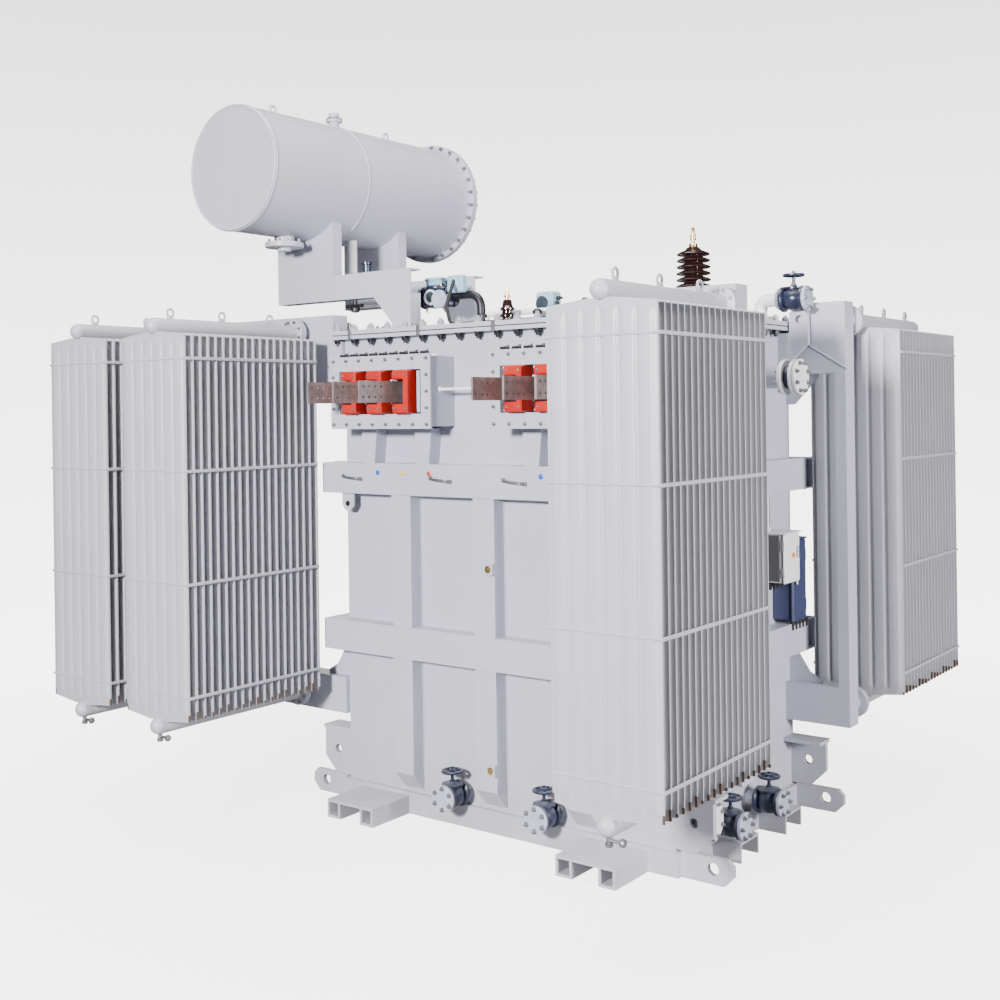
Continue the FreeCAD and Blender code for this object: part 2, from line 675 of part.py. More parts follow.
DUCT_FACE = HALF_DEPTH + S.duct_out
DUCT_BACK = DUCT_FACE - S.duct_width
DUCT_REACH = S.neck_diameter / 2 + S.duct_overrun
UPPER_DUCT = (TOP_HEADER + S.upper_duct_rise - S.upper_duct_height, TOP_HEADER + S.upper_duct_rise)
LOWER_DUCT = (LOW_HEADER + S.lower_duct_rise - S.lower_duct_height, LOW_HEADER + S.lower_duct_rise)


def duct(served, level_name):
    """Back right-hand box duct along +X from the end wall, with a flanged neck for each radiator."""
    tip = max((abs_x(name) for name in served), key=lambda x: x.value) + DUCT_REACH
    low, high = UPPER_DUCT if level_name == "upper" else LOWER_DUCT
    outline = [(HALF_LENGTH, low), (tip, low), (tip, high), (HALF_LENGTH, high)]
    if level_name == "upper":
        clear = 10
        outline[3:] = [(RIM_X + clear, high), (RIM_X + clear, S.tank_top - S.rim_thick - clear),
                       (HALF_LENGTH, S.tank_top - S.rim_thick - clear)]
        brace = [(HALF_LENGTH, low - S.brace_rise), (HALF_LENGTH + 50, low - S.brace_rise),
                 (HALF_LENGTH + S.brace_reach, low - 20), (HALF_LENGTH + S.brace_reach, low), (HALF_LENGTH, low)]
        axis_level = TOP_HEADER
    else:
        brace = [(HALF_LENGTH, high), (HALF_LENGTH + S.brace_reach, high),
                 (HALF_LENGTH + S.brace_reach, high + 20), (HALF_LENGTH + 120, high + 60),
                 (HALF_LENGTH + 50, high + S.brace_rise), (HALF_LENGTH, high + S.brace_rise)]
        axis_level = LOW_HEADER
    pieces = [padded("XZ", outline, S.duct_width, DUCT_BACK, name="duct"),
              padded("XZ", brace, 14, (DUCT_FACE + DUCT_BACK) / 2 - 7, name="brace")]
    for name in served:
        at_x = abs_x(name)
        pieces.append(rod(S.neck_diameter / 2, S.duct_neck, (at_x, DUCT_FACE, axis_level), Y))
        pieces.append(rod(S.neck_flange / 2, S.flange_thick,
                          (at_x, DUCT_FACE + S.duct_neck - S.flange_thick, axis_level), Y))
    return fused(pieces)


def abs_x(name):
    """Distance of a radiator's middle from the middle plane of the tank."""
    return RADIATOR_X[name] * (1 if RADIATOR_X[name].value > 0 else -1)


def ducts():
    """Two ducts at each corner: short ones on the right, double ones on the left."""
    for level_name in ("upper", "lower"):
        right = duct(["right"], level_name)
        keep(right, f"{level_name}_duct_back_right")
        keep(mirrored(right, Y), f"{level_name}_duct_front_right")
        left = mirrored(duct(["left_inner", "left_outer"], level_name), X)
        keep(left, f"{level_name}_duct_back_left")
        keep(mirrored(left, Y), f"{level_name}_duct_front_left")
    tip = RADIATOR_X["right"] + DUCT_REACH
    column = block((tip - S.column_width, tip), (DUCT_BACK, DUCT_FACE), (LOWER_DUCT[1], UPPER_DUCT[0]))
    keep(kept_apart([column, mirrored(column, Y)]), "duct_columns")


# ---------------------------------------------------------------- conservator

DRUM_R = S.drum_diameter / 2
DRUM_LEVEL = COVER_TOP + S.drum_rise
ARM_LEVEL = COVER_TOP + S.arm_rise
FLANGE_R = DRUM_R + S.drum_rim
DRUM_BACK = S.drum_front + S.drum_length
END_PLATE = 12
COVER_PLATE = 20


def conservator():
    """Drum on two saddles: shell with a flange at the back, flat near end, bolted cover."""
    at_x, level = S.drum_center_x, DRUM_LEVEL
    shell_start = S.drum_front + END_PLATE
    shell_length = S.drum_length - END_PLATE - COVER_PLATE
    skin = rod(DRUM_R, shell_length, (at_x, shell_start, level), Y)
    flange = rod(FLANGE_R, COVER_PLATE, (at_x, DRUM_BACK - 2 * COVER_PLATE, level), Y)
    inside = rod(DRUM_R - S.drum_wall, shell_length + 2, (at_x, shell_start - 1, level), Y)
    keep(cut(fused([skin, flange]), [inside]), "conservator_shell")
    keep(rod(DRUM_R, END_PLATE, (at_x, S.drum_front, level), Y), "conservator_near_end")
    keep(rod(FLANGE_R, COVER_PLATE, (at_x, DRUM_BACK - COVER_PLATE, level), Y),
         "conservator_cover")


def conservator_support():
    """Saddle plates on two arms that reach out from posts on the tank cover."""
    at_x, level = S.drum_center_x, DRUM_LEVEL
    arm_top = ARM_LEVEL + S.arm_height
    half = S.saddle_width / 2
    saddles, arms = [], []
    saddle_top = level - DRUM_R * 0.56
    for middle_y in (S.saddle_front, S.saddle_back):
        arm_y = (middle_y - S.arm_width / 2, middle_y + S.arm_width / 2)
        face = arm_y[0] + S.saddle_setback
        plate = block((at_x - half, at_x + half), (face, face + S.saddle_thick), (arm_top, saddle_top))
        edges = [block((start, start + S.saddle_thick), (face, arm_y[1]), (arm_top, saddle_top))
                 for start in (at_x - half, at_x + half - S.saddle_thick)]
        bed = rod(DRUM_R, 400, (at_x, middle_y - 200, level), Y)
        saddles.append(cut(fused([plate] + edges), [bed]))
        arm = block((S.arm_left, S.arm_right), arm_y, (ARM_LEVEL, arm_top))
        wall = 10
        hollow = block((S.arm_left - 1, S.arm_right + 1), (arm_y[0] + wall, arm_y[1] + 1),
                       (ARM_LEVEL + wall, arm_top - wall))
        post_foot = S.arm_right - S.post_length / 2
        outline = [(post_foot, COVER_TOP), (S.arm_right, COVER_TOP), (S.arm_right, ARM_LEVEL),
                   (S.arm_right - S.post_length, ARM_LEVEL), (post_foot, COVER_TOP + 40)]
        post = padded("XZ", outline, S.arm_width, arm_y[0], name="post")
        foot = block((post_foot - 20, S.arm_right + 20), (arm_y[0] - 20, arm_y[1] + 20),
                     (COVER_TOP, COVER_TOP + 14))
        arms.append(fused([cut(arm, [hollow]), post, foot]))
    keep(kept_apart(saddles), "conservator_saddles")
    keep(kept_apart(arms), "conservator_arms")


def conservator_fittings():
    """Filler on top, lifting eyes and the flanged drain stub underneath."""
    at_x, level = S.drum_center_x, DRUM_LEVEL
    top = level + DRUM_R
    root = 14
    middle_y = S.drum_front + S.drum_length * 0.47
    filler = stepped([(32, root + 40), (52, 14), (24, 20), (34, 26)], (at_x, middle_y, top - root))
    eyes = []
    for at_y in (S.drum_front + S.drum_length * 0.18, S.drum_front + S.drum_length * 0.74):
        outline = [(at_y - 26, top - 4), (at_y + 26, top - 4), (at_y + 18, top + 52), (at_y - 18, top + 52)]
        eyes.append(padded("YZ", outline, 12, at_x - 6, [(11, (at_y, top + 28))], name="drum_eye"))
    low = level - DRUM_R
    drain = stepped([(40, 20), (115, 30), (60, 52)], (at_x, S.drum_front + 400, low - 82))
    fittings = fused([filler, drain] + eyes)
    body = rod(DRUM_R, S.drum_length, (at_x, S.drum_front, level), Y)
    keep(cut(fittings, [body]), "conservator_fittings")


def oil_pipe():
    """Pipe from the drum's underside to the gas relay and down into the cover."""
    start_x = S.drum_center_x + 150
    level = COVER_TOP + S.relay_rise
    inlet = (start_x, S.relay_y, DRUM_LEVEL - DRUM_R + 20)
    radius = S.oil_pipe / 2
    end_x = S.relay_x + 320
    route = [inlet, (start_x, S.relay_y, level), (end_x, S.relay_y, level), (end_x, S.relay_y, COVER_TOP)]
    run = pipe_run(radius, route)
    bed = rod(DRUM_R, 400, (S.drum_center_x, S.relay_y - 200, DRUM_LEVEL), Y)
    pipe = cut(run, [bed])
    body = block((S.relay_x - 80, S.relay_x + 80), (S.relay_y - 62, S.relay_y + 62), (level - 62, level + 62))
    flanges = [rod(66, 16, (S.relay_x + offset, S.relay_y, level), X) for offset in (-112, 96)]
    foot = rod(70, 16, (end_x, S.relay_y, COVER_TOP))
    keep(fused([pipe, body, foot] + flanges), "oil_pipe_and_gas_relay")
    head = block((S.relay_x - 60, S.relay_x + 60), (S.relay_y - 50, S.relay_y + 50), (level + 62, level + 112))
    second_x, second_y = S.relay_x + 580, S.relay_y + 300
    stem = rod(24, 150, (second_x, second_y, COVER_TOP))
    box = block((second_x - 60, second_x + 60), (second_y - 50, second_y + 50),
                (COVER_TOP + 150, COVER_TOP + 290))
    keep(kept_apart([head, fused([stem, box])]), "relay_heads")


# ---------------------------------------------------------------- on the cover and right end

def bushings():
    """Brown high-voltage bushing on its turret, and a small dark one near the front."""
    turret = stepped([(140, 16), (105, S.turret_height - 32), (135, 16)], (S.hv_x, S.hv_y, COVER_TOP))
    keep(turret, "bushing_turret")
    level = COVER_TOP + S.turret_height
    outline = [(0, 0), (62, 0), (62, 20)]
    core = 42
    for index in range(S.shed_count.value):
        low = 20 + S.shed_pitch * index
        outline += [(core, low), (core, low + S.shed_pitch * 0.3), (S.shed_radius - index * 4, low + S.shed_pitch * 0.4),
                    (S.shed_radius - index * 4, low + S.shed_pitch * 0.6), (core, low + S.shed_pitch * 0.95)]
    top = 20 + S.shed_pitch * S.shed_count
    outline += [(core, top), (30, top + 18), (0, top + 18)]
    keep(turned(outline, (S.hv_x, S.hv_y, level)), "high_voltage_bushing")
    stud = stepped([(24, 22), (S.stud_diameter / 2, S.stud_length)], (S.hv_x, S.hv_y, level + top + 18))
    keep(stud, "high_voltage_stud")
    small = stepped([(60, 14), (32, 50), (46, 12), (32, 20), (42, 12), (30, 22), (12, 50)],
                    (-40, -480, COVER_TOP))
    keep(small, "neutral_bushing")


def handwheel(at, along, radius=52):
    """Rim, two spokes and hub on a stem that starts at `at`."""
    stem_length = 90
    hub = stepped([(9, stem_length), (16, 18)], at, along)
    rim = doc.addObject("Part::Torus", "rim")
    bind(rim, "Radius1", radius)
    bind(rim, "Radius2", 8)
    shift = [component * (stem_length + 4) for component in along]
    middle = tuple(size(a) + b for a, b in zip(at, shift))
    place(rim, middle, FreeCAD.Rotation(Z, along))
    cross = Y if abs(along.y) < 0.5 else X
    other = along.cross(cross)
    spokes = []
    for direction in (cross, other):
        start = tuple(m - radius * component for m, component in zip(middle, direction))
        spokes.append(rod(6, 2 * radius, start, direction))
    return [hub, rim] + spokes


def gate_valve(root, along, reach, stem_along=Z):
    """Flanged valve from a wall: neck, body, blind flange and a handwheel across the flow."""
    bore, flange = S.valve_bore / 2, S.valve_flange / 2
    plate = S.flange_thick
    body_length = 100
    neck = reach - body_length - 3 * plate
    flow = stepped([(bore, neck), (flange, plate), (bore + 14, body_length), (flange, 2 * plate)], root, along)
    middle = tuple(size(a) + (neck + plate + body_length / 2) * component
                   for a, component in zip(root, along))
    bonnet = stepped([(bore + 4, 60), (34, 14)], middle, stem_along)
    wheel_root = tuple(m + 70 * component for m, component in zip(middle, stem_along))
    return fused([flow, bonnet] + handwheel(wheel_root, stem_along))


def base_valves():
    """Drain and filter valves near the ground, on the front wall and on the right end wall."""
    reach = S.valve_reach + S.base_lip
    fronts = [gate_valve((at_x, -HALF_DEPTH, 190), -Y, reach + 20, Z) for at_x in (-215, 385)]
    keep(kept_apart(fronts), "front_valves")
    sides = [gate_valve((HALF_LENGTH, at_y, 190), X, reach + 40, Z) for at_y in (-365, 75)]
    keep(kept_apart(sides), "side_valves")
    keep(stepped([(70, 90), (100, 44)], (HALF_LENGTH, -535, 245), X), "side_blind_flange")


def top_pipework():
    """Upper oil valve over the right edge of the cover, and the flanged spool below it."""
    level = COVER_TOP + 118
    start = HALF_LENGTH - 75
    across = 490
    elbow = pipe_run(36, [(start, across, COVER_TOP), (start, across, level), (HALF_LENGTH + 60, across, level)])
    foot = rod(70, 16, (start, across, COVER_TOP))
    valve = gate_valve((HALF_LENGTH + 30, across, level), X, 180, Z)
    keep(fused([elbow, foot, valve]), "top_valve")
    face = S.spool_flange / 2
    spool = stepped([(58, S.spool_reach - 100), (face, 20), (50, 40), (face, 40)],
                    (HALF_LENGTH, 100, S.tank_top - S.spool_drop), X)
    keep(spool, "side_spool")
    rail_level = COVER_TOP + 70
    rail = pipe_run(18, [(-270, -370, COVER_TOP), (-270, -370, rail_level), (330, -370, rail_level),
                         (330, -370, COVER_TOP)])
    dome = stepped([(95, 14), (70, 90), (45, 40)], (350, -80, COVER_TOP))
    keep(kept_apart([rail, dome]), "cover_pipework")


def wall_boxes():
    """Marshalling box and the dark control cabinet on the right end wall."""
    low = S.panel_box_level
    wall = HALF_LENGTH
    middle = 315
    box = block((wall, wall + S.panel_box_depth), (middle - S.panel_box_width / 2, middle + S.panel_box_width / 2),
                (low, low + S.panel_box_height))
    keep(box, "marshalling_box")
    middle = middle + S.panel_box_width / 2 + 20 + S.cabinet_width / 2
    low = S.cabinet_level
    keep(block((wall, wall + S.cabinet_depth), (middle - S.cabinet_width / 2, middle + S.cabinet_width / 2),
               (low, low + S.cabinet_height)), "control_cabinet")


def build():
    tank()
    tank_top_joint()
    base_frame()
    ring_beam(S.lower_beam_level, "lower_ring_beam")
    ring_beam(UPPER_BEAM_LEVEL, "upper_ring_beam")
    ribs()
    terminal_gussets()
    skid_feet()
    base_lugs()
    lifting_lugs()
    for name, side in SIDES.items():
        terminal_box(name, side)
    radiators()
    ducts()
    conservator()
    conservator_support()
    conservator_fittings()
    oil_pipe()
    bushings()
    base_valves()
    top_pipework()
    wall_boxes()


def check_and_export():
    """Stop on any failed object, then write one file for each sub-part."""
    doc.recompute()
    for item in doc.Objects:
        if "Invalid" in item.State or "Error" in item.State:
            raise RuntimeError(f"{item.Label} failed: {item.State}")
    os.makedirs("parts", exist_ok=True)
    for piece in subparts:
        if piece.Shape.isNull() or not piece.Shape.isValid():
            raise RuntimeError(f"{piece.Label} has no valid shape")
        piece.Shape.exportStep(f"parts/{piece.Label}.step")
    print(len(subparts), "sub-parts written")


build()
check_and_export()
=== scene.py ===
"""Looks of an oil-filled power transformer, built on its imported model.

Lengths are metres in the model's own frame: origin on the ground under the middle
of the tank, +X along the low-voltage wall, +Y to the back, +Z up.
"""
import json
import math

import bmesh
import bpy
from bpy.props import FloatProperty, FloatVectorProperty, IntProperty, PointerProperty
from mathutils import Matrix, Vector


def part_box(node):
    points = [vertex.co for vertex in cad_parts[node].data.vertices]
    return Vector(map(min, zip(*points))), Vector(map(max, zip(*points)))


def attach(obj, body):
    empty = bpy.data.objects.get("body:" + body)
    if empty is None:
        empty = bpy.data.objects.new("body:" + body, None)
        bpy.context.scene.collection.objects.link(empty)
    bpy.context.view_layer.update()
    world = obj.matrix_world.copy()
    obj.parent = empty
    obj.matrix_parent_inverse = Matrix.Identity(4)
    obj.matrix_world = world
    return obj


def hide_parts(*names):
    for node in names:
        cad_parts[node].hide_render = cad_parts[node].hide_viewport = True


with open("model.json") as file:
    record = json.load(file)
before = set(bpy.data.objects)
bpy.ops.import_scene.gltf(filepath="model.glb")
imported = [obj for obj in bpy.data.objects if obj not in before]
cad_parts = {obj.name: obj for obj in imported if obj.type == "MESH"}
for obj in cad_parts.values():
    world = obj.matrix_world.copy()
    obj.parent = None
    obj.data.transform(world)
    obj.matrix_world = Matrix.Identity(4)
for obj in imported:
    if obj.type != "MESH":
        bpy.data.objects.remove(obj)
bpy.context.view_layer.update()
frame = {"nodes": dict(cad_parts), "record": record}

bl_info = {
    "name": "Power Transformer Looks",
    "version": (1, 0, 0),
    "blender": (4, 5, 0),
    "location": "View3D > Sidebar > Transformer",
    "description": "Finishes, bolts, pressed radiators and fittings of a power transformer",
    "category": "Object",
}

X, Y, Z = Vector((1, 0, 0)), Vector((0, 1, 0)), Vector((0, 0, 1))
SIDES = {"left": -1, "right": 1}
ENDS = {"front": -1, "back": 1}
RADIATORS = [f"radiator_{end}_{spot}" for end in ENDS for spot in ("right", "left_inner", "left_outer")]


# ---------------------------------------------------------------- sizes a user would change

def length(name, description, default):
    return FloatProperty(name=name, description=description, default=default, unit="LENGTH", precision=4)


def colour(name, description, default):
    return FloatVectorProperty(name=name, description=description, default=default,
                               subtype="COLOR", size=3, min=0.0, max=1.0)


class TransformerColours(bpy.types.PropertyGroup):
    enamel: colour("Enamel", "Light grey paint of tank and frames", (0.425, 0.425, 0.500))
    radiator: colour("Radiators", "Grey paint of the pressed panels", (0.390, 0.390, 0.430))
    gasket: colour("Gasket", "Cork and rubber sheet under the cover", (0.075, 0.026, 0.016))
    moulding: colour("Mouldings", "Red resin plates in the terminal boxes", (0.400, 0.008, 0.003))
    bar: colour("Bars", "Tinned low-voltage bars", (0.260, 0.225, 0.215))
    valve: colour("Valves", "Dark blue cast valve bodies", (0.014, 0.018, 0.042))
    relay: colour("Relays", "Light blue relay housings", (0.260, 0.430, 0.540))
    porcelain: colour("Porcelain", "Brown glaze of the bushings", (0.016, 0.006, 0.006))
    cabinet: colour("Cabinet", "Dark blue control cabinet", (0.024, 0.032, 0.085))
    backdrop: colour("Backdrop", "Pale studio floor", (0.800, 0.800, 0.795))


class TransformerSizes(bpy.types.PropertyGroup):
    flutes: IntProperty(name="Flutes", description="Oil channels across one panel", default=6, min=2)
    panels: IntProperty(name="Panels", description="Panels in one radiator", default=19, min=2)
    groove: length("Groove", "Flat seam between two flutes", 0.012)
    edge_seam: length("Edge seam", "Flat seam at a panel's edge", 0.012)
    cover_bolt: length("Cover bolt", "Width across the flats of a cover bolt", 0.036)
    cover_bolt_pitch: length("Cover bolt pitch", "Between two cover bolts", 0.130)
    box_bolt: length("Box bolt", "Width across the flats of a terminal box bolt", 0.015)
    flange_bolt: length("Flange bolt", "Width across the flats of a pipe flange bolt", 0.019)
    drum_bolt: length("Drum bolt", "Width across the flats of a conservator bolt", 0.026)
    lens: FloatProperty(name="Lens", description="Focal length on a 36 mm sensor", default=45.2)


def colours():
    return bpy.context.scene.transformer_colours


def sizes():
    return bpy.context.scene.transformer_sizes


# ---------------------------------------------------------------- shader maths

class Value:
    """One number socket that takes part in sums; each sum adds its own Math node."""

    def __init__(self, finish, socket):
        self.finish = finish
        self.socket = socket

    def math(self, operation, *others, clamp=False):
        node = self.finish.node("ShaderNodeMath", {"operation": operation, "use_clamp": clamp},
                                dict(enumerate((self,) + others)))
        return Value(self.finish, node.outputs[0])

    def __add__(self, other):
        return self.math("ADD", other)

    __radd__ = __add__

    def __sub__(self, other):
        return self.math("SUBTRACT", other)

    def __rsub__(self, other):
        return (self * -1.0) + other

    def __mul__(self, other):
        return self.math("MULTIPLY", other)

    __rmul__ = __mul__

    def above(self, edge, soft):
        """0 below the edge and 1 above it, over a soft width."""
        return ((self - edge) * (1.0 / soft)).math("ADD", 0.5, clamp=True)

    def between(self, low, high, soft):
        return self.above(low, soft) * (1.0 - self.above(high, soft))


class Finish:
    """A material under construction around one Principled shader."""

    def __init__(self, name, roughness=0.4, metallic=0.0, **constants):
        self.material = bpy.data.materials.new(name)
        self.material.use_nodes = True
        self.tree = self.material.node_tree
        self.shader = self.tree.nodes["Principled BSDF"]
        self.set("Roughness", roughness)
        self.set("Metallic", metallic)
        for socket, value in constants.items():
            self.set(socket.replace("_", " "), value)
        self.place = self.node("ShaderNodeTexCoord").outputs["Object"]

    def node(self, kind, settings=None, inputs=None):
        """Add a node: its settings first, then the values or links of its sockets."""
        made = self.tree.nodes.new(kind)
        for key, value in (settings or {}).items():
            if key == "stops":
                for index, (at, grey) in enumerate(value):
                    stop = made.color_ramp.elements[index] if index < 2 else made.color_ramp.elements.new(at)
                    stop.position = at
                    stop.color = grey
            else:
                setattr(made, key, value)
        for key, value in (inputs or {}).items():
            self.feed(made.inputs[key], value)
        return made

    def feed(self, socket, value):
        value = value.socket if isinstance(value, Value) else value
        if isinstance(value, bpy.types.NodeSocket):
            self.tree.links.new(value, socket)
        else:
            socket.default_value = value

    def set(self, socket, value):
        self.feed(self.shader.inputs[socket], value)

    def noise(self, scale, detail=3.0, stretch=(1.0, 1.0, 1.0), roughness=0.55):
        """Cloudy value from 0 to 1 fixed to the object."""
        place = self.node("ShaderNodeVectorMath", {"operation": "MULTIPLY"}, {0: self.place, 1: stretch})
        cloud = self.node("ShaderNodeTexNoise", {"noise_dimensions": "3D"},
                          {"Vector": place.outputs[0], "Scale": scale, "Detail": detail,
                           "Roughness": roughness})
        return Value(self, cloud.outputs["Fac"])

    def axis(self, letter):
        split = self.node("ShaderNodeSeparateXYZ", {}, {0: self.place})
        return Value(self, split.outputs[letter])

    def facing(self, letter):
        geometry = self.node("ShaderNodeNewGeometry")
        split = self.node("ShaderNodeSeparateXYZ", {}, {0: geometry.outputs["Normal"]})
        return Value(self, split.outputs[letter])

    def blend(self, factor, low, high):
        """Colour that runs from low to high with the factor."""
        mix = self.node("ShaderNodeMix", {"data_type": "RGBA", "clamp_factor": True},
                        {0: factor, 6: rgba(low), 7: rgba(high)})
        return mix.outputs[2]

    def bump(self, height, strength, distance):
        lump = self.node("ShaderNodeBump", {}, {"Height": height, "Strength": strength, "Distance": distance})
        self.set("Normal", lump.outputs["Normal"])


def rgba(value):
    return value if isinstance(value, bpy.types.NodeSocket) else (*value[:3], 1.0)


def shade(value, by):
    """The same colour, lighter or darker."""
    return tuple(min(1.0, part * by) for part in value)


# ---------------------------------------------------------------- finishes

def enamel(name, base, roughness=0.38, ground_darkening=0.35, peel=0.10):
    """Sprayed enamel: faint tone drift, orange peel, dust on ledges and a brownish darkening towards the ground."""
    finish = Finish(name, Specular_IOR_Level=0.5)
    drift = finish.noise(1.7, 4.0)
    streaks = finish.noise(9.0, 4.0, (1.0, 1.0, 0.12))
    tone = finish.blend(drift, shade(base, 0.95), shade(base, 1.05))
    tone = finish.blend(streaks.above(0.66, 0.16) * 0.30, tone, shade(base, 0.86))
    ledge = finish.facing("Z").above(0.8, 0.2) * finish.noise(6.0, 5.0).above(0.45, 0.3)
    tone = finish.blend(ledge * 0.25, tone, (0.52, 0.50, 0.46))
    # Darker and browner in patches towards the ground, over the lowest half metre.
    low = (1.0 - finish.axis("Z").above(0.28, 0.5)) * finish.noise(11.0, 5.0).above(0.48, 0.3)
    tone = finish.blend(low * ground_darkening, tone, (0.36, 0.33, 0.29))
    finish.set("Base Color", tone)
    finish.set("Roughness", finish.noise(24.0, 2.0) * 0.16 + (roughness - 0.08))
    finish.bump(finish.noise(420.0, 2.0), peel, 0.0006)
    return finish.material


def rubber_sheet(name, base):
    finish = Finish(name)
    speckle = finish.noise(260.0, 2.0).above(0.55, 0.2)
    finish.set("Base Color", finish.blend(speckle, shade(base, 0.75), shade(base, 1.35)))
    finish.set("Roughness", speckle * 0.1 + 0.75)
    finish.bump(speckle, 0.3, 0.0008)
    return finish.material


def resin(name, base):
    """Cast resin: slight flow marks and a soft sheen."""
    finish = Finish(name, Coat_Roughness=0.25)
    flow = finish.noise(14.0, 4.0, (1.0, 1.0, 0.4))
    finish.set("Base Color", finish.blend(flow, shade(base, 0.80), shade(base, 1.25)))
    finish.set("Roughness", flow * 0.2 + 0.30)
    finish.set("Coat Weight", 0.25)
    finish.bump(finish.noise(150.0, 2.0), 0.12, 0.0006)
    return finish.material


def tinned(name, base):
    """Tinned flat bar: fine drawn lines along its length and a brown storage bloom."""
    finish = Finish(name, metallic=0.75)
    lines = finish.noise(60.0, 3.0, (1.0, 0.05, 6.0))
    bloom = finish.noise(22.0, 4.0).above(0.5, 0.3)
    tone = finish.blend(bloom, shade(base, 1.5), shade(base, 0.9))
    finish.set("Base Color", finish.blend(lines * 0.4, tone, shade(base, 2.1)))
    finish.set("Roughness", lines * 0.2 + 0.36)
    finish.bump(lines, 0.10, 0.0003)
    return finish.material


def glaze(name, base):
    finish = Finish(name, roughness=0.10, Coat_Roughness=0.05)
    pool = finish.noise(30.0, 3.0)
    finish.set("Base Color", finish.blend(pool, shade(base, 0.7), shade(base, 1.8)))
    finish.set("Coat Weight", 0.6)
    finish.bump(finish.noise(90.0, 2.0), 0.05, 0.0006)
    return finish.material


def bare_metal(name, base, roughness=0.35):
    """Turned or plated metal with fine scratches and dull patches."""
    finish = Finish(name, metallic=1.0)
    patch = finish.noise(45.0, 4.0)
    scratch = finish.noise(300.0, 2.0, (0.2, 1.0, 1.0))
    finish.set("Base Color", finish.blend(patch, shade(base, 0.75), shade(base, 1.15)))
    finish.set("Roughness", patch * 0.2 + scratch * 0.1 + (roughness - 0.12))
    finish.bump(scratch, 0.08, 0.0003)
    return finish.material


def glossy_paint(name, base, roughness=0.28, worn=(0.30, 0.31, 0.33)):
    """Brushed gloss paint on a casting, thin and dusty on the upper faces."""
    finish = Finish(name)
    rough_cast = finish.noise(130.0, 3.0)
    dust = finish.facing("Z").above(0.5, 0.6) * finish.noise(30.0, 4.0).above(0.5, 0.4)
    tone = finish.blend(finish.noise(12.0, 3.0), shade(base, 0.8), shade(base, 1.3))
    finish.set("Base Color", finish.blend(dust * 0.35, tone, worn))
    finish.set("Roughness", dust * 0.3 + roughness)
    finish.bump(rough_cast, 0.22, 0.0012)
    return finish.material


def studio_floor(name, base):
    """Matt pale floor that melts into the backdrop away from the object."""
    finish = Finish(name, roughness=0.75)
    finish.set("Base Color", finish.blend(finish.noise(0.6, 2.0), shade(base, 0.985), shade(base, 1.01)))
    x, y = finish.axis("X"), finish.axis("Y")
    away = (x * x + y * y).math("SQRT")
    finish.set("Alpha", (1.0 - away.above(4.0, 4.0)) * 0.40)
    return finish.material


FINISHES = {}
RECORD_SLOTS = {part["material_slot"] for part in frame["record"]["subparts"]}


class TRANSFORMER_OT_finishes(bpy.types.Operator):
    """Make every finish and paint the model's own pieces with them"""
    bl_idname = "transformer.finishes"
    bl_label = "Finishes"

    def execute(self, context):
        tint = colours()
        FINISHES.update({
            "grey_paint": enamel("Light_Grey_Enamel", tint.enamel),
            "radiator_paint": enamel("Radiator_Enamel", tint.radiator, 0.42, 0.15, 0.06),
            "gasket_rubber": rubber_sheet("Brown_Gasket", tint.gasket),
            "moulded_terminal": resin("Red_Resin", tint.moulding),
            "tinned_bar": tinned("Tinned_Bar", tint.bar),
            "valve_paint": glossy_paint("Navy_Valve_Paint", tint.valve),
            "blue_paint": glossy_paint("Light_Blue_Paint", tint.relay, 0.35, (0.5, 0.52, 0.54)),
            "brown_porcelain": glaze("Brown_Glaze", tint.porcelain),
            "brass": bare_metal("Turned_Brass", (0.62, 0.44, 0.18), 0.32),
            "cabinet_paint": enamel("Dark_Blue_Enamel", tint.cabinet, 0.35, 0.2),
            "bolt_zinc": bare_metal("Zinc_Bolts", (0.34, 0.34, 0.36), 0.42),
            "grey_bolts": enamel("Painted_Bolts", shade(tint.enamel, 0.72), 0.42, 0.3),
            "rust_spots": glossy_paint("Rust_Spots", (0.075, 0.038, 0.022), 0.6),
            "lens_glass": glaze("Relay_Lens", (0.030, 0.040, 0.050)),
            "dark_steel": bare_metal("Dark_Steel", (0.055, 0.055, 0.060), 0.45),
            "pale_steel": glossy_paint("Pale_Blue_Grey_Paint", (0.360, 0.380, 0.470), 0.35, (0.5, 0.5, 0.52)),
            # Near-black sheet colour: painted shade for the marshalling box's front side.
            "painted_shade_grey": enamel("Painted_Shade_Sheet", (0.060, 0.060, 0.062), 0.5, 0.2),
            "white_enamel": enamel("White_Enamel", (0.76, 0.76, 0.78), 0.32, 0.1),
            "black_rubber": rubber_sheet("Black_Rubber", (0.012, 0.012, 0.013)),
            "mark_blue": glossy_paint("Blue_Mark", (0.020, 0.055, 0.420), 0.4),
            "mark_yellow": glossy_paint("Yellow_Mark", (0.700, 0.430, 0.020), 0.4),
            "mark_red": glossy_paint("Red_Mark", (0.520, 0.020, 0.015), 0.4),
            "mark_orange": glossy_paint("Orange_Mark", (0.800, 0.220, 0.010), 0.4),
        })
        for part in frame["record"]["subparts"]:
            cad = frame["nodes"][part["node"]]
            cad.data.materials.clear()
            cad.data.materials.append(FINISHES[part["material_slot"]])
        return {"FINISHED"}


# ---------------------------------------------------------------- mesh building

def object_from(name, mesh_data, slot):
    """Put a mesh in the scene with a finish."""
    piece = bpy.data.objects.new(name, mesh_data)
    bpy.context.scene.collection.objects.link(piece)
    mesh_data.materials.clear()
    mesh_data.materials.append(FINISHES[slot])
    return piece


def ride(piece, *replaced):
    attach(piece, "root")
    if replaced:
        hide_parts(*replaced)
    return piece


def frame_along(direction):
    """Rotation that takes +Z to a direction."""
    return Z.rotation_difference(Vector(direction)).to_matrix().to_4x4()


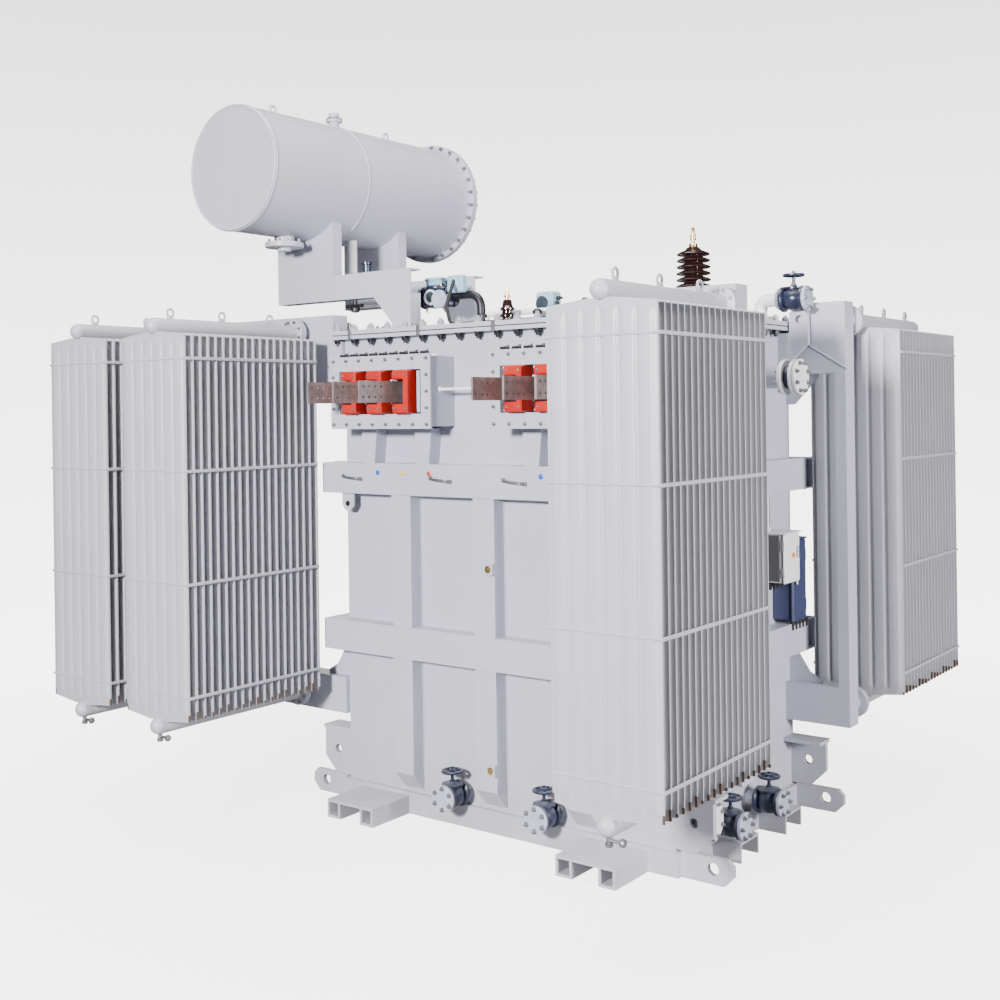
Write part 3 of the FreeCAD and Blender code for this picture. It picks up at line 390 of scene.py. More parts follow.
class Shape:
    """A mesh put together from boxes, prisms, turned and swept pieces, all in metres."""

    def __init__(self):
        self.mesh = bmesh.new()

    def place(self, new, matrix):
        bmesh.ops.transform(self.mesh, matrix=matrix, verts=new)

    def box(self, low, high, bevel=0.002):
        low, high = Vector(low), Vector(high)
        made = bmesh.ops.create_cube(self.mesh, size=1.0)["verts"]
        self.place(made, Matrix.Translation((low + high) / 2) @ Matrix.Diagonal((*(high - low), 1.0)))
        if bevel:
            edges = list({edge for vert in made for edge in vert.link_edges})
            bmesh.ops.bevel(self.mesh, geom=edges, offset=min(bevel, min(high - low) * 0.45),
                            segments=1, affect="EDGES", profile=0.5)
        return self

    def turned(self, profile, at, along=Z, segments=32):
        """Spin (radius, height) points about the direction `along` from the point `at`."""
        place = Matrix.Translation(Vector(at)) @ frame_along(along)
        rings = []
        for radius, height in profile:
            if radius < 1e-6:
                rings.append([self.mesh.verts.new(place @ Vector((0, 0, height)))])
                continue
            rings.append([self.mesh.verts.new(place @ Vector((radius * math.cos(turn),
                                                              radius * math.sin(turn), height)))
                          for turn in (2 * math.pi * step / segments for step in range(segments))])
        for low, high in zip(rings, rings[1:]):
            for step in range(segments):
                after = (step + 1) % segments
                corners = [low[step % len(low)], low[after % len(low)], high[after % len(high)],
                           high[step % len(high)]]
                unique = list(dict.fromkeys(corners))
                if len(unique) > 2:
                    self.mesh.faces.new(unique)
        for ring, flip in ((rings[0], True), (rings[-1], False)):
            if len(ring) > 1:
                self.mesh.faces.new(list(reversed(ring)) if flip else ring)
        return self

    def rod(self, radius, start, end, segments=20):
        start, end = Vector(start), Vector(end)
        return self.turned([(radius, 0), (radius, (end - start).length)], start, end - start, segments)

    def tube(self, radius, path, bend=0.06, segments=16, arc_steps=6):
        """Pipe along corner points, each corner rounded by an arc of the bend radius."""
        points = [Vector(point) for point in path]
        line = [points[0]]
        for before, corner, after in zip(points, points[1:], points[2:]):
            into, out = (corner - before).normalized(), (after - corner).normalized()
            turn = into.angle(out)
            cut = min(bend * math.tan(turn / 2), (corner - before).length * 0.48,
                      (after - corner).length * 0.48)
            start, end = corner - into * cut, corner + out * cut
            for step in range(arc_steps + 1):
                share = step / arc_steps
                line.append(start * (1 - share) ** 2 + corner * 2 * share * (1 - share) + end * share ** 2)
        line.append(points[-1])
        return self.swept(line, radius, segments)

    def swept(self, line, radius, segments=12, closed=False):
        """Round section carried along a polyline without twist."""
        count = len(line)
        tangents = []
        for index in range(count):
            before = line[index - 1] if index or closed else line[0]
            after = line[(index + 1) % count] if index < count - 1 or closed else line[-1]
            tangents.append((after - before).normalized())
        side = tangents[0].orthogonal().normalized()
        rings = []
        for point, tangent in zip(line, tangents):
            side = (side - tangent * side.dot(tangent)).normalized()
            other = tangent.cross(side)
            rings.append([self.mesh.verts.new(point + radius * (side * math.cos(turn) + other * math.sin(turn)))
                          for turn in (2 * math.pi * step / segments for step in range(segments))])
        spans = list(zip(rings, rings[1:])) + ([(rings[-1], rings[0])] if closed else [])
        for low, high in spans:
            for step in range(segments):
                after = (step + 1) % segments
                self.mesh.faces.new((low[step], low[after], high[after], high[step]))
        if not closed:
            self.mesh.faces.new(list(reversed(rings[0])))
            self.mesh.faces.new(rings[-1])
        return self

    def torus(self, major, minor, at, along=Z, segments=36, around=10):
        place = Matrix.Translation(Vector(at)) @ frame_along(along)
        line = [place @ Vector((major * math.cos(turn), major * math.sin(turn), 0))
                for turn in (2 * math.pi * step / segments for step in range(segments))]
        return self.swept(line, minor, around, closed=True)

    def prism(self, outline, low, high, across, bevel=0.0):
        """Flat outline given in two axes, thickened along the third (`across`: 0, 1 or 2)."""
        axes = [axis for axis in range(3) if axis != across]

        def corner(point, level):
            place = [0.0, 0.0, 0.0]
            place[axes[0]], place[axes[1]], place[across] = point[0], point[1], level
            return self.mesh.verts.new(place)

        near = [corner(point, low) for point in outline]
        far = [corner(point, high) for point in outline]
        faces = [self.mesh.faces.new(near), self.mesh.faces.new(list(reversed(far)))]
        for index in range(len(outline)):
            after = (index + 1) % len(outline)
            faces.append(self.mesh.faces.new((near[index], far[index], far[after], near[after])))
        bmesh.ops.recalc_face_normals(self.mesh, faces=faces)
        if bevel:
            edges = list({edge for face in faces for edge in face.edges})
            bmesh.ops.bevel(self.mesh, geom=edges, offset=bevel, segments=1, affect="EDGES", profile=0.5)
        return self

    def finished(self, name, slot, smooth=35.0):
        """Close the mesh, point its faces outwards and smooth all but its sharp edges."""
        bmesh.ops.recalc_face_normals(self.mesh, faces=self.mesh.faces[:])
        data = bpy.data.meshes.new(name)
        self.mesh.to_mesh(data)
        self.mesh.free()
        data.shade_smooth()
        data.set_sharp_from_angle(angle=math.radians(smooth))
        return object_from(name, data, slot)


# ---------------------------------------------------------------- geometry node trees

class Recipe:
    """A Geometry Nodes tree with named inputs, run once on a carrier mesh."""

    def __init__(self, name, inputs):
        self.tree = bpy.data.node_groups.new(name, "GeometryNodeTree")
        self.tree.interface.new_socket("Geometry", in_out="INPUT", socket_type="NodeSocketGeometry")
        self.keys = {}
        for label, kind, default in inputs:
            socket = self.tree.interface.new_socket(label, in_out="INPUT", socket_type=f"NodeSocket{kind}")
            if default is not None:
                socket.default_value = default
            self.keys[label] = socket.identifier
        self.tree.interface.new_socket("Geometry", in_out="OUTPUT", socket_type="NodeSocketGeometry")
        self.entry = self.tree.nodes.new("NodeGroupInput").outputs
        self.exit = self.tree.nodes.new("NodeGroupOutput").inputs

    def node(self, kind, settings=None, inputs=None):
        made = self.tree.nodes.new(kind)
        for key, value in (settings or {}).items():
            setattr(made, key, value)
        for key, value in (inputs or {}).items():
            if isinstance(value, bpy.types.NodeSocket):
                self.tree.links.new(value, made.inputs[key])
            else:
                made.inputs[key].default_value = value
        return made

    def sum(self, operation, *values):
        return self.node("ShaderNodeMath", {"operation": operation}, dict(enumerate(values))).outputs[0]

    def end(self, geometry):
        """Realize the instances, set the material and close the tree."""
        real = self.node("GeometryNodeRealizeInstances", {}, {0: geometry}).outputs[0]
        dressed = self.node("GeometryNodeSetMaterial", {}, {0: real, "Material": self.entry["Material"]})
        self.tree.links.new(dressed.outputs[0], self.exit[0])
        return self

    def run(self, carrier_mesh, name, slot, **values):
        """Evaluate the tree on a carrier and return the result as one plain mesh object."""
        carrier = bpy.data.objects.new(f"{name}_carrier", carrier_mesh)
        bpy.context.scene.collection.objects.link(carrier)
        modifier = carrier.modifiers.new(self.tree.name, "NODES")
        modifier.node_group = self.tree
        modifier[self.keys["Material"]] = FINISHES[slot]
        for label, value in values.items():
            modifier[self.keys[label.replace("_", " ")]] = value
        view = bpy.context.evaluated_depsgraph_get()
        result = bpy.data.meshes.new_from_object(carrier.evaluated_get(view))
        bpy.data.objects.remove(carrier)
        result.name = name
        return object_from(name, result, slot)


def seats(places):
    """Carrier of loose points, each with the direction that stands on it."""
    carrier = bpy.data.meshes.new("seats")
    carrier.from_pydata([tuple(place) for place, _ in places], [], [])
    stored = carrier.attributes.new("stand", "FLOAT_VECTOR", "POINT")
    for index, (_, direction) in enumerate(places):
        stored.data[index].vector = direction
    return carrier


def bolt_recipe():
    """Hexagon head on a washer, with a short thread end, at every seat."""
    recipe = Recipe("Bolt_Rows", [("Flats", "Float", 0.024), ("Head", "Float", 0.014),
                                  ("Thread", "Float", 0.010), ("Material", "Material", None)])
    flats, head, thread = (recipe.entry[label] for label in ("Flats", "Head", "Thread"))
    washer_height = recipe.sum("MULTIPLY", flats, 0.12)
    pieces = []
    lift = 0.0
    for sides, radius, height in ((16, recipe.sum("MULTIPLY", flats, 0.68), washer_height),
                                  (6, recipe.sum("MULTIPLY", flats, 0.577), head),
                                  (10, recipe.sum("MULTIPLY", flats, 0.30), thread)):
        barrel = recipe.node("GeometryNodeMeshCylinder", {"fill_type": "NGON"},
                             {"Vertices": sides, "Radius": radius, "Depth": height}).outputs["Mesh"]
        middle = recipe.sum("MULTIPLY_ADD", height, 0.5, lift)
        shift = recipe.node("ShaderNodeCombineXYZ", {}, {"Z": middle}).outputs[0]
        pieces.append(recipe.node("GeometryNodeTransform", {},
                                  {"Geometry": barrel, "Translation": shift}).outputs[0])
        lift = recipe.sum("ADD", height, lift)
    bolt = recipe.node("GeometryNodeJoinGeometry").inputs[0]
    for piece in reversed(pieces):
        recipe.tree.links.new(piece, bolt)
    points = recipe.node("GeometryNodeMeshToPoints", {}, {"Mesh": recipe.entry["Geometry"]}).outputs[0]
    stand = recipe.node("GeometryNodeInputNamedAttribute", {"data_type": "FLOAT_VECTOR"}, {"Name": "stand"})
    turn = recipe.node("FunctionNodeAlignRotationToVector", {"axis": "Z"}, {"Vector": stand.outputs[0]})
    placed = recipe.node("GeometryNodeInstanceOnPoints", {},
                         {"Points": points, "Instance": bolt.node.outputs[0], "Rotation": turn.outputs[0]})
    return recipe.end(placed.outputs[0])


def ring_of(centre, along, radius, count, phase=0.5):
    """Seats on a bolt circle, all standing along its axis."""
    place = Matrix.Translation(Vector(centre)) @ frame_along(along)
    return [(place @ Vector((radius * math.cos(turn), radius * math.sin(turn), 0)), Vector(along))
            for turn in (2 * math.pi * (step + phase) / count for step in range(count))]


def row_of(start, end, count, along):
    """Seats evenly spaced from one point to another."""
    start, end = Vector(start), Vector(end)
    return [(start.lerp(end, step / (count - 1)), Vector(along)) for step in range(count)]


def run_seats(name, places, flats, slot="bolt_zinc", replaced=()):
    """Bolts on a list of seats, riding with the transformer."""
    recipe = bolt_recipe()
    made = recipe.run(seats(places), name, slot, Flats=flats, Head=flats * 0.55, Thread=flats * 0.35)
    made.data.set_sharp_from_angle(angle=math.radians(30.0))
    return ride(made, *replaced)


class Group:
    """Pieces gathered by finish; each finish becomes one object of the group."""

    def __init__(self, name):
        self.name = name
        self.shapes = {}
        self.bolts = []

    def __getitem__(self, slot):
        return self.shapes.setdefault(slot, Shape())

    def finished(self, *replaced, flats=0.024, bolt_slot="bolt_zinc"):
        """Make the objects; the first one stands for the replaced pieces of the model."""
        for index, (slot, shape) in enumerate(self.shapes.items()):
            piece = shape.finished(f"{self.name}_{slot}", slot)
            ride(piece, *(replaced if index == 0 else ()))
        if self.bolts:
            run_seats(f"{self.name}_bolts", self.bolts, flats, bolt_slot)


def corners(node):
    """Lowest and highest corner of a piece of the model."""
    low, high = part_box(node)
    return Vector(low), Vector(high)


# ---------------------------------------------------------------- radiators

PANEL_WIDTH, PANEL_LOW, PANEL_HIGH = 0.52, 0.645, 2.675
PANEL_PITCH, FIRST_PANEL = 0.052, 0.85
HEADER_RADIUS, UPPER_HEADER, LOWER_HEADER = 0.044, 2.722, 0.600
TIE_SHARES = (0.06, 0.35, 0.64, 0.93)
EYE_SHARES = (0.12, 0.5, 0.88)
FLUTE_SECTION = ((0.0, 0.0), (0.05, 0.45), (0.11, 0.85), (0.20, 1.0), (0.80, 1.0), (0.89, 0.85), (0.95, 0.45),
                 (1.0, 0.0))
FLUTE_END = ((0.034, 0.0), (0.044, 0.5), (0.062, 0.88), (0.095, 1.0))
SHOULDER_RISE, SHOULDER_DROP = 0.014, 0.022


def panel_mesh():
    """One pressed panel in the XZ plane: flutes swell from a flat seam and fade at both ends."""
    setup = sizes()
    half, seam, swell = PANEL_WIDTH / 2, 0.0034, 0.0060
    pitch = (PANEL_WIDTH - 2 * setup.edge_seam) / setup.flutes
    across = [(-half, 0.0)]
    for index in range(setup.flutes):
        start = setup.edge_seam - half + index * pitch + setup.groove / 2
        across += [(start + share * (pitch - setup.groove), rise) for share, rise in FLUTE_SECTION]
    across.append((half, 0.0))
    ends = [(0.0, 0.0)] + list(FLUTE_END)
    up = [(PANEL_LOW, at, rise, 1) for at, rise in ends] + [(PANEL_HIGH, at, rise, -1) for at,
                                                            rise in reversed(ends)]
    mesh = bmesh.new()
    sheets = []
    for side in (-1, 1):
        grid = []
        for x, rise_x in across:
            drop = SHOULDER_DROP * max(0.0, (abs(x) - 0.06) / (half - 0.06)) - SHOULDER_RISE
            grid.append([mesh.verts.new((x, side * (seam + swell * rise_x * rise_z),
                                         edge + inwards * (at + drop)))
                         for edge, at, rise_z, inwards in up])
        sheets.append(grid)
        for left, right in zip(grid, grid[1:]):
            for row in range(len(up) - 1):
                mesh.faces.new((left[row], right[row], right[row + 1], left[row + 1]))
    near, far = sheets
    rim_near = [column[0] for column in near] + near[-1][1:] + [c[-1] for c in reversed(near[:-1])] + near[0][-2:0:-1]
    rim_far = [column[0] for column in far] + far[-1][1:] + [c[-1] for c in reversed(far[:-1])] + far[0][-2:0:-1]
    for index in range(len(rim_near)):
        after = (index + 1) % len(rim_near)
        mesh.faces.new((rim_near[index], rim_near[after], rim_far[after], rim_far[index]))
    bmesh.ops.recalc_face_normals(mesh, faces=mesh.faces[:])
    data = bpy.data.meshes.new("panel")
    mesh.to_mesh(data)
    mesh.free()
    data.shade_smooth()
    data.set_sharp_from_angle(angle=math.radians(50.0))
    return data


def stack_recipe():
    """The carrier mesh repeated in an even row along Y from a start place."""
    recipe = Recipe("Panel_Stack", [("Count", "Int", 19), ("Pitch", "Float", 0.05),
                                    ("Start", "Vector", None), ("Material", "Material", None)])
    step = recipe.node("ShaderNodeCombineXYZ", {}, {"Y": recipe.entry["Pitch"]}).outputs[0]
    line = recipe.node("GeometryNodeMeshLine", {"mode": "OFFSET"},
                       {"Count": recipe.entry["Count"], "Start Location": recipe.entry["Start"],
                        "Offset": step})
    points = recipe.node("GeometryNodeMeshToPoints", {}, {"Mesh": line.outputs[0]}).outputs[0]
    placed = recipe.node("GeometryNodeInstanceOnPoints", {},
                         {"Points": points, "Instance": recipe.entry["Geometry"]})
    return recipe.end(placed.outputs[0])


def radiator(node, recipe):
    """Pressed panels with their header pipes, tie bars, lifting eyes and flanged necks."""
    setup = sizes()
    low, high = corners(node)
    middle = (low.x + high.x) / 2
    out = -1 if low.y < 0 else 1
    stack = PANEL_PITCH * (setup.panels - 1)
    outer = out * (FIRST_PANEL + stack)
    inner = out * FIRST_PANEL
    panels = recipe.run(panel_mesh(), f"{node}_panels", "radiator_paint", Count=setup.panels,
                        Pitch=out * PANEL_PITCH, Start=(middle, inner, 0.0))
    ride(panels, node)

    group = Group(f"{node}_frame")
    pipe = group["radiator_paint"]
    length = stack + 2 * HEADER_RADIUS
    dome = [(HEADER_RADIUS * math.sin(turn), HEADER_RADIUS * (1 - math.cos(turn)))
            for turn in (math.pi / 2 * step / 6 for step in range(7))]
    profile = dome + [(radius, length - height) for radius, height in reversed(dome)]
    face = out * (low.y if out > 0 else -high.y)
    for level in (UPPER_HEADER, LOWER_HEADER):
        pipe.turned(profile, (middle, min(outer, inner) - HEADER_RADIUS, level), Y, 24)
        pipe.turned([(0.045, 0), (0.045, abs(inner) - abs(face) + 0.01)], (middle, face, level), Y * out, 24)
        pipe.turned([(0.079, 0), (0.085, 0.002), (0.085, 0.016), (0.079, 0.018)], (middle, face, level),
                    Y * out, 40)
        group.bolts += ring_of((middle, face + out * 0.018, level), Y * out, 0.067, 8)
    for share in EYE_SHARES:
        at = (middle, outer - out * stack * share, UPPER_HEADER + HEADER_RADIUS + 0.029)
        pipe.torus(0.021, 0.0065, at, X, 24, 8)
        pipe.box((middle - 0.008, at[1] - 0.018, at[2] - 0.036),
                 (middle + 0.008, at[1] + 0.018, at[2] - 0.020), 0.002)
    tie = group["radiator_paint"]
    half = PANEL_WIDTH / 2
    span = sorted((inner - out * 0.003, outer + out * 0.003))
    for share in TIE_SHARES:
        level = PANEL_LOW + (PANEL_HIGH - PANEL_LOW) * share
        for side in (-1, 1):
            edges = sorted((middle + side * half, middle + side * (half + 0.008)))
            tie.box((edges[0], span[0], level), (edges[1], span[1], level + 0.016), 0.002)
        tie.rod(0.006, (middle - half - 0.004, outer + out * 0.007, level + 0.008),
                (middle + half + 0.004, outer + out * 0.007, level + 0.008), 10)
    for index in range(1, setup.flutes):
        x = middle - PANEL_WIDTH / 2 + setup.edge_seam + index * (PANEL_WIDTH - 2 * setup.edge_seam) / setup.flutes
        for level in (PANEL_LOW + 0.030, PANEL_HIGH - 0.030):
            pipe.turned([(0.007, 0), (0.006, 0.002), (0.003, 0.004), (0, 0.0045)],
                        (x, outer + out * 0.002, level), Y * out, 10)
    foot = PANEL_LOW + SHOULDER_DROP - SHOULDER_RISE
    for index in range(setup.panels):
        y = inner + out * PANEL_PITCH * index
        for side in (-1, 1):
            edges = sorted((middle + side * (half - 0.010), middle + side * (half + 0.0005)))
            group["rust_spots"].box((edges[0], y - 0.004, foot),
                                    (edges[1], y + 0.004, foot + 0.016 + 0.010 * (index * 7 % 4)), 0.001)
    drain = (middle, outer - out * 0.010, LOWER_HEADER - HEADER_RADIUS - 0.040)
    group["bolt_zinc"].turned([(0.014, 0), (0.016, 0.004), (0.016, 0.016), (0.011, 0.018), (0.011, 0.046)],
                              drain, Z, 16)
    group["bolt_zinc"].turned([(0.007, 0), (0.007, 0.050), (0.015, 0.054), (0.018, 0.064), (0.015, 0.074),
                               (0, 0.078)],
                              (drain[0], drain[1], drain[2] + 0.026), X, 16)
    group.finished(flats=setup.flange_bolt * 0.8)


class TRANSFORMER_OT_radiators(bpy.types.Operator):
    """Make the six radiators from pressed panels on header pipes"""
    bl_idname = "transformer.radiators"
    bl_label = "Radiators"

    def execute(self, context):
        recipe = stack_recipe()
        for node in RADIATORS:
            radiator(node, recipe)
        return {"FINISHED"}


# ---------------------------------------------------------------- tank and cover joint

class TRANSFORMER_OT_cover_bolts(bpy.types.Operator):
    """Bolt the cover down all round, with nuts below the rim"""
    bl_idname = "transformer.cover_bolts"
    bl_label = "Cover bolts"

    def execute(self, context):
        setup = sizes()
        low, high = corners("tank_cover")
        rim = corners("tank_rim")[0].z
        inset = 0.030
        heads, nuts = [], []
        for level, along, places in ((high.z, Z, heads), (rim, -Z, nuts)):
            for axis, other in ((0, 1), (1, 0)):
                reach = high[axis] - inset
                count = round(2 * reach / setup.cover_bolt_pitch) + 1
                for side in (-1, 1):
                    start, end = Vector((0, 0, level)), Vector((0, 0, level))
                    start[axis], end[axis] = -reach, reach
                    start[other] = end[other] = side * (high[other] - inset)
                    row = row_of(start, end, count, along)
                    places += row[1:-1] if axis else row
        run_seats("cover_bolt_heads", heads, setup.cover_bolt, "grey_bolts")
        run_seats("cover_nuts", nuts, setup.cover_bolt, "dark_steel")
        clamps = Group("rim_clamps")
        for x in (-0.98, -0.46, 0.06, 0.58, 0.98):
            for side in (-1, 1):
                y = side * high.y
                span = sorted((y, y + side * 0.008))
                clamps["bolt_zinc"].box((x - 0.012, span[0], rim - 0.004),
                                        (x + 0.012, span[1], high.z + 0.004), 0.002)
        clamps.finished()
        return {"FINISHED"}


# ---------------------------------------------------------------- low-voltage terminals

class TRANSFORMER_OT_terminals(bpy.types.Operator):
    """Red clamps round the low-voltage bars, and the bolted flanges of their boxes"""
    bl_idname = "transformer.terminals"
    bl_label = "Low-voltage terminals"

    def execute(self, context):
        setup = sizes()
        for side in SIDES:
            low, high = corners(f"terminal_box_{side}")
            face = low.y
            plates = corners(f"terminal_plates_{side}")
            width = (plates[1].x - plates[0].x - 0.38)
            group = Group(f"terminal_clamps_{side}")
            for index in range(3):
                left = plates[0].x + 0.19 * index
                right = left + width
                base, top = plates[0].z, plates[1].z
                near, back = face - 0.046, face + 0.060
                red = group["moulded_terminal"]
                arm = 0.052
                red.box((left + 0.030, near, top - arm), (right, back, top), 0.007)
                red.box((left + 0.030, near, base), (right, back, base + arm), 0.007)
                red.box((right - 0.034, near, base + arm - 0.012), (right, back, top - arm + 0.012), 0.007)
                red.box((left + 0.012, near + 0.018, top - arm + 0.008), (left + 0.040, back, top - 0.014),
                        0.005)
                red.box((left + 0.012, near + 0.018, base + 0.014), (left + 0.040, back, base + arm - 0.008),
                        0.005)
                white = group["white_enamel"]
                white.box((left, face - 0.010, base + 0.004), (left + 0.018, back, base + 0.030), 0.004)
                white.box((left, face - 0.010, top - 0.030), (left + 0.018, back, top - 0.004), 0.004)
                bar = (left + right) / 2 - 0.045
                white.box((bar - 0.011, near + 0.010, base + arm), (bar - 0.001, back, top - arm), 0.002)
                group["dark_steel"].box((left + 0.034, face + 0.050, base + arm),
                                        (right - 0.034, back + 0.02, top - arm), 0.003)
                for x in (right - 0.017, left + 0.050):
                    for z in (base + 0.026, top - 0.026):
                        group.bolts.append((Vector((x, near, z)), -Y))
            stay = plates[1].x + 0.030
            group["grey_paint"].box((stay, face - 0.002, plates[0].z + 0.006),
                                    (stay + 0.022, face + 0.090, plates[1].z - 0.006), 0.003)
            group.finished(f"terminal_plates_{side}", flats=0.010)
            flange = []
            inset = 0.024
            for z in (low.z + inset, high.z - inset):
                flange += row_of((low.x + inset, face, z), (high.x - inset, face, z), 8, -Y)
            for x in (low.x + inset, high.x - inset):
                flange += row_of((x, face, low.z + inset), (x, face, high.z - inset), 5, -Y)[1:-1]
            run_seats(f"terminal_box_{side}_bolts", flange, setup.box_bolt)
            lid = Group(f"terminal_box_{side}_lid")
            for step in range(9):
                x = low.x + 0.07 + step * (high.x - low.x - 0.14) / 8
                lid["dark_steel"].box((x - 0.020, face + 0.020, high.z - 0.012),
                                      (x + 0.008, face + 0.075, high.z + 0.016), 0.004)
                lid["bolt_zinc"].rod(0.006, (x - 0.030, face + 0.045, high.z + 0.004),
                                     (x + 0.022, face + 0.045, high.z + 0.020), 8)
            lid["white_enamel"].rod(0.008, (low.x + 0.04, face + 0.100, high.z - 0.006),
                                    (high.x - 0.04, face + 0.100, high.z - 0.006), 10)
            lid.finished()
        left, right = corners("terminal_box_left")[1], corners("terminal_box_right")[0]
        link = Group("terminal_box_link")
        link["white_enamel"].rod(0.008, (left.x - 0.004, -0.820, 2.365), (right.x + 0.004, -0.820, 2.365), 14)
        for x in (left.x + 0.006, right.x - 0.006):
            link["white_enamel"].rod(0.015, (x - 0.006, -0.820, 2.365), (x + 0.006, -0.820, 2.365), 6)
        link.finished()
        return {"FINISHED"}


# ---------------------------------------------------------------- beams, marks and lugs

PHASE_MARKS = ((-0.739, "mark_blue"), (-0.552, "mark_yellow"), (-0.364, "mark_red"), (0.383, "mark_blue"),
               (0.570, "mark_yellow"), (0.757, "mark_red"))


class TRANSFORMER_OT_wall_details(bpy.types.Operator):
    """Phase marks, grips and tie lugs on the ring beams, and earthing pads"""
    bl_idname = "transformer.wall_details"
    bl_label = "Wall details"

    def execute(self, context):
        low, high = corners("upper_ring_beam")
        group = Group("beam_details")
        for x, slot in PHASE_MARKS:
            group[slot].turned([(0.014, 0), (0.014, 0.002), (0.011, 0.004), (0, 0.005)], (x, low.y, 1.908),
                               -Y, 20)
        for x in (-0.939, -0.284, 0.213, 0.830):
            path = [(x - 0.065, low.y, 1.884), (x - 0.050, low.y - 0.022, 1.880),
                    (x + 0.050, low.y - 0.022, 1.872),
                    (x + 0.065, low.y, 1.868)]
            group["bolt_zinc"].tube(0.0075, path, 0.020, 10, 4)
            for end, level in ((x - 0.068, 1.884), (x + 0.068, 1.868)):
                group["bolt_zinc"].box((end - 0.014, low.y - 0.004, level - 0.011),
                                       (end + 0.014, low.y, level + 0.011), 0.002)
        for x in (-0.995, 0.995):
            for y in (low.y + 0.02, high.y - 0.035):
                outline = [(x - 0.045, low.z + 0.002), (x + 0.045, low.z + 0.002), (x + 0.045, low.z - 0.070),
                           (x + 0.020, low.z - 0.100), (x - 0.020, low.z - 0.100), (x - 0.045, low.z - 0.070)]
                group["grey_paint"].prism(outline, y, y + 0.015, 1, 0.002)
                # Dark steel disc where the lug's hole is: painted shade, no hole is cut through the plate.
                group["dark_steel"].turned([(0.016, 0), (0.016, 0.017)], (x, y - 0.001, low.z - 0.060), Y, 20)
        group.finished()
        pads = Group("earth_pad_details")
        low, high = corners("earth_pads")
        for level in (low.z + 0.030, high.z - 0.030):
            middle = (low.x + high.x) / 2
            pads["brass"].turned([(0.020, 0), (0.020, 0.002), (0.006, 0.003), (0.006, 0.010), (0, 0.010)],
                                 (middle, low.y, level), -Y, 20)
        pads.finished()
        return {"FINISHED"}


class TRANSFORMER_OT_weld_seams(bpy.types.Operator):
    """Weld beads where ribs, beams, boxes and feet meet the tank"""
    bl_idname = "transformer.weld_seams"
    bl_label = "Weld seams"

    def execute(self, context):
        shape = Shape()
        wall = 0.680
        spans = ((1.055, 1.785), (0.240, 0.880))
        for side in (-1, 1):
            for column in (-0.58, 0.0, 0.58):
                for edge in (-0.071, 0.071):
                    for low, high in spans:
                        x = column + edge
                        shape.rod(0.0045, (x, side * (wall + 0.001), low), (x, side * (wall + 0.001), high),
                                  6)
            for beam in ("lower_ring_beam", "upper_ring_beam"):
                low, high = corners(beam)
                for level in (low.z, high.z):
                    shape.rod(0.0045, (-1.17, side * wall, level), (1.17, side * wall, level), 6)
                    shape.rod(0.0045, (side * 1.075, -0.68, level), (side * 1.075, 0.68, level), 6)
            shape.rod(0.005, (-1.075, side * wall, 0.121), (1.075, side * wall, 0.121), 6)
            shape.rod(0.005, (side * 1.075, -wall, 0.121), (side * 1.075, wall, 0.121), 6)
            shape.rod(0.004, (-1.075, side * wall, 2.669), (1.075, side * wall, 2.669), 6)
        for side in (-1, 1):
            for duct in ("right", "left"):
                low, high = corners(f"upper_duct_back_{duct}")
                out = 1 if duct == "right" else -1
                start = out * 1.150
                end = high.x - 0.020 if out > 0 else start - 0.250
                face = side * 0.589
                shape.rod(0.005, (start, face, 2.640), (end, face, low.z + 0.190), 8)
        ride(shape.finished("weld_seams", "grey_paint"))
        return {"FINISHED"}


# ---------------------------------------------------------------- valves

def wheel(shape, root, along, radius=0.060, rise=0.094):
    """Handwheel on a stem: round rim, five spokes and a domed hub."""
    root, along = Vector(root), Vector(along)
    middle = root + along * rise
    place = Matrix.Translation(middle) @ frame_along(along)
    shape.turned([(0.009, 0), (0.009, rise - 0.01), (0.018, rise - 0.008), (0.018, rise + 0.010),
                  (0.008, rise + 0.014), (0.008, rise + 0.024), (0, rise + 0.026)], root, along, 16)
    shape.torus(radius, 0.0085, middle, along, 36, 10)
    for step in range(5):
        turn = 2 * math.pi * step / 5
        tip = place @ Vector((radius * math.cos(turn), radius * math.sin(turn), 0))
        shape.rod(0.0055, middle, tip, 8)


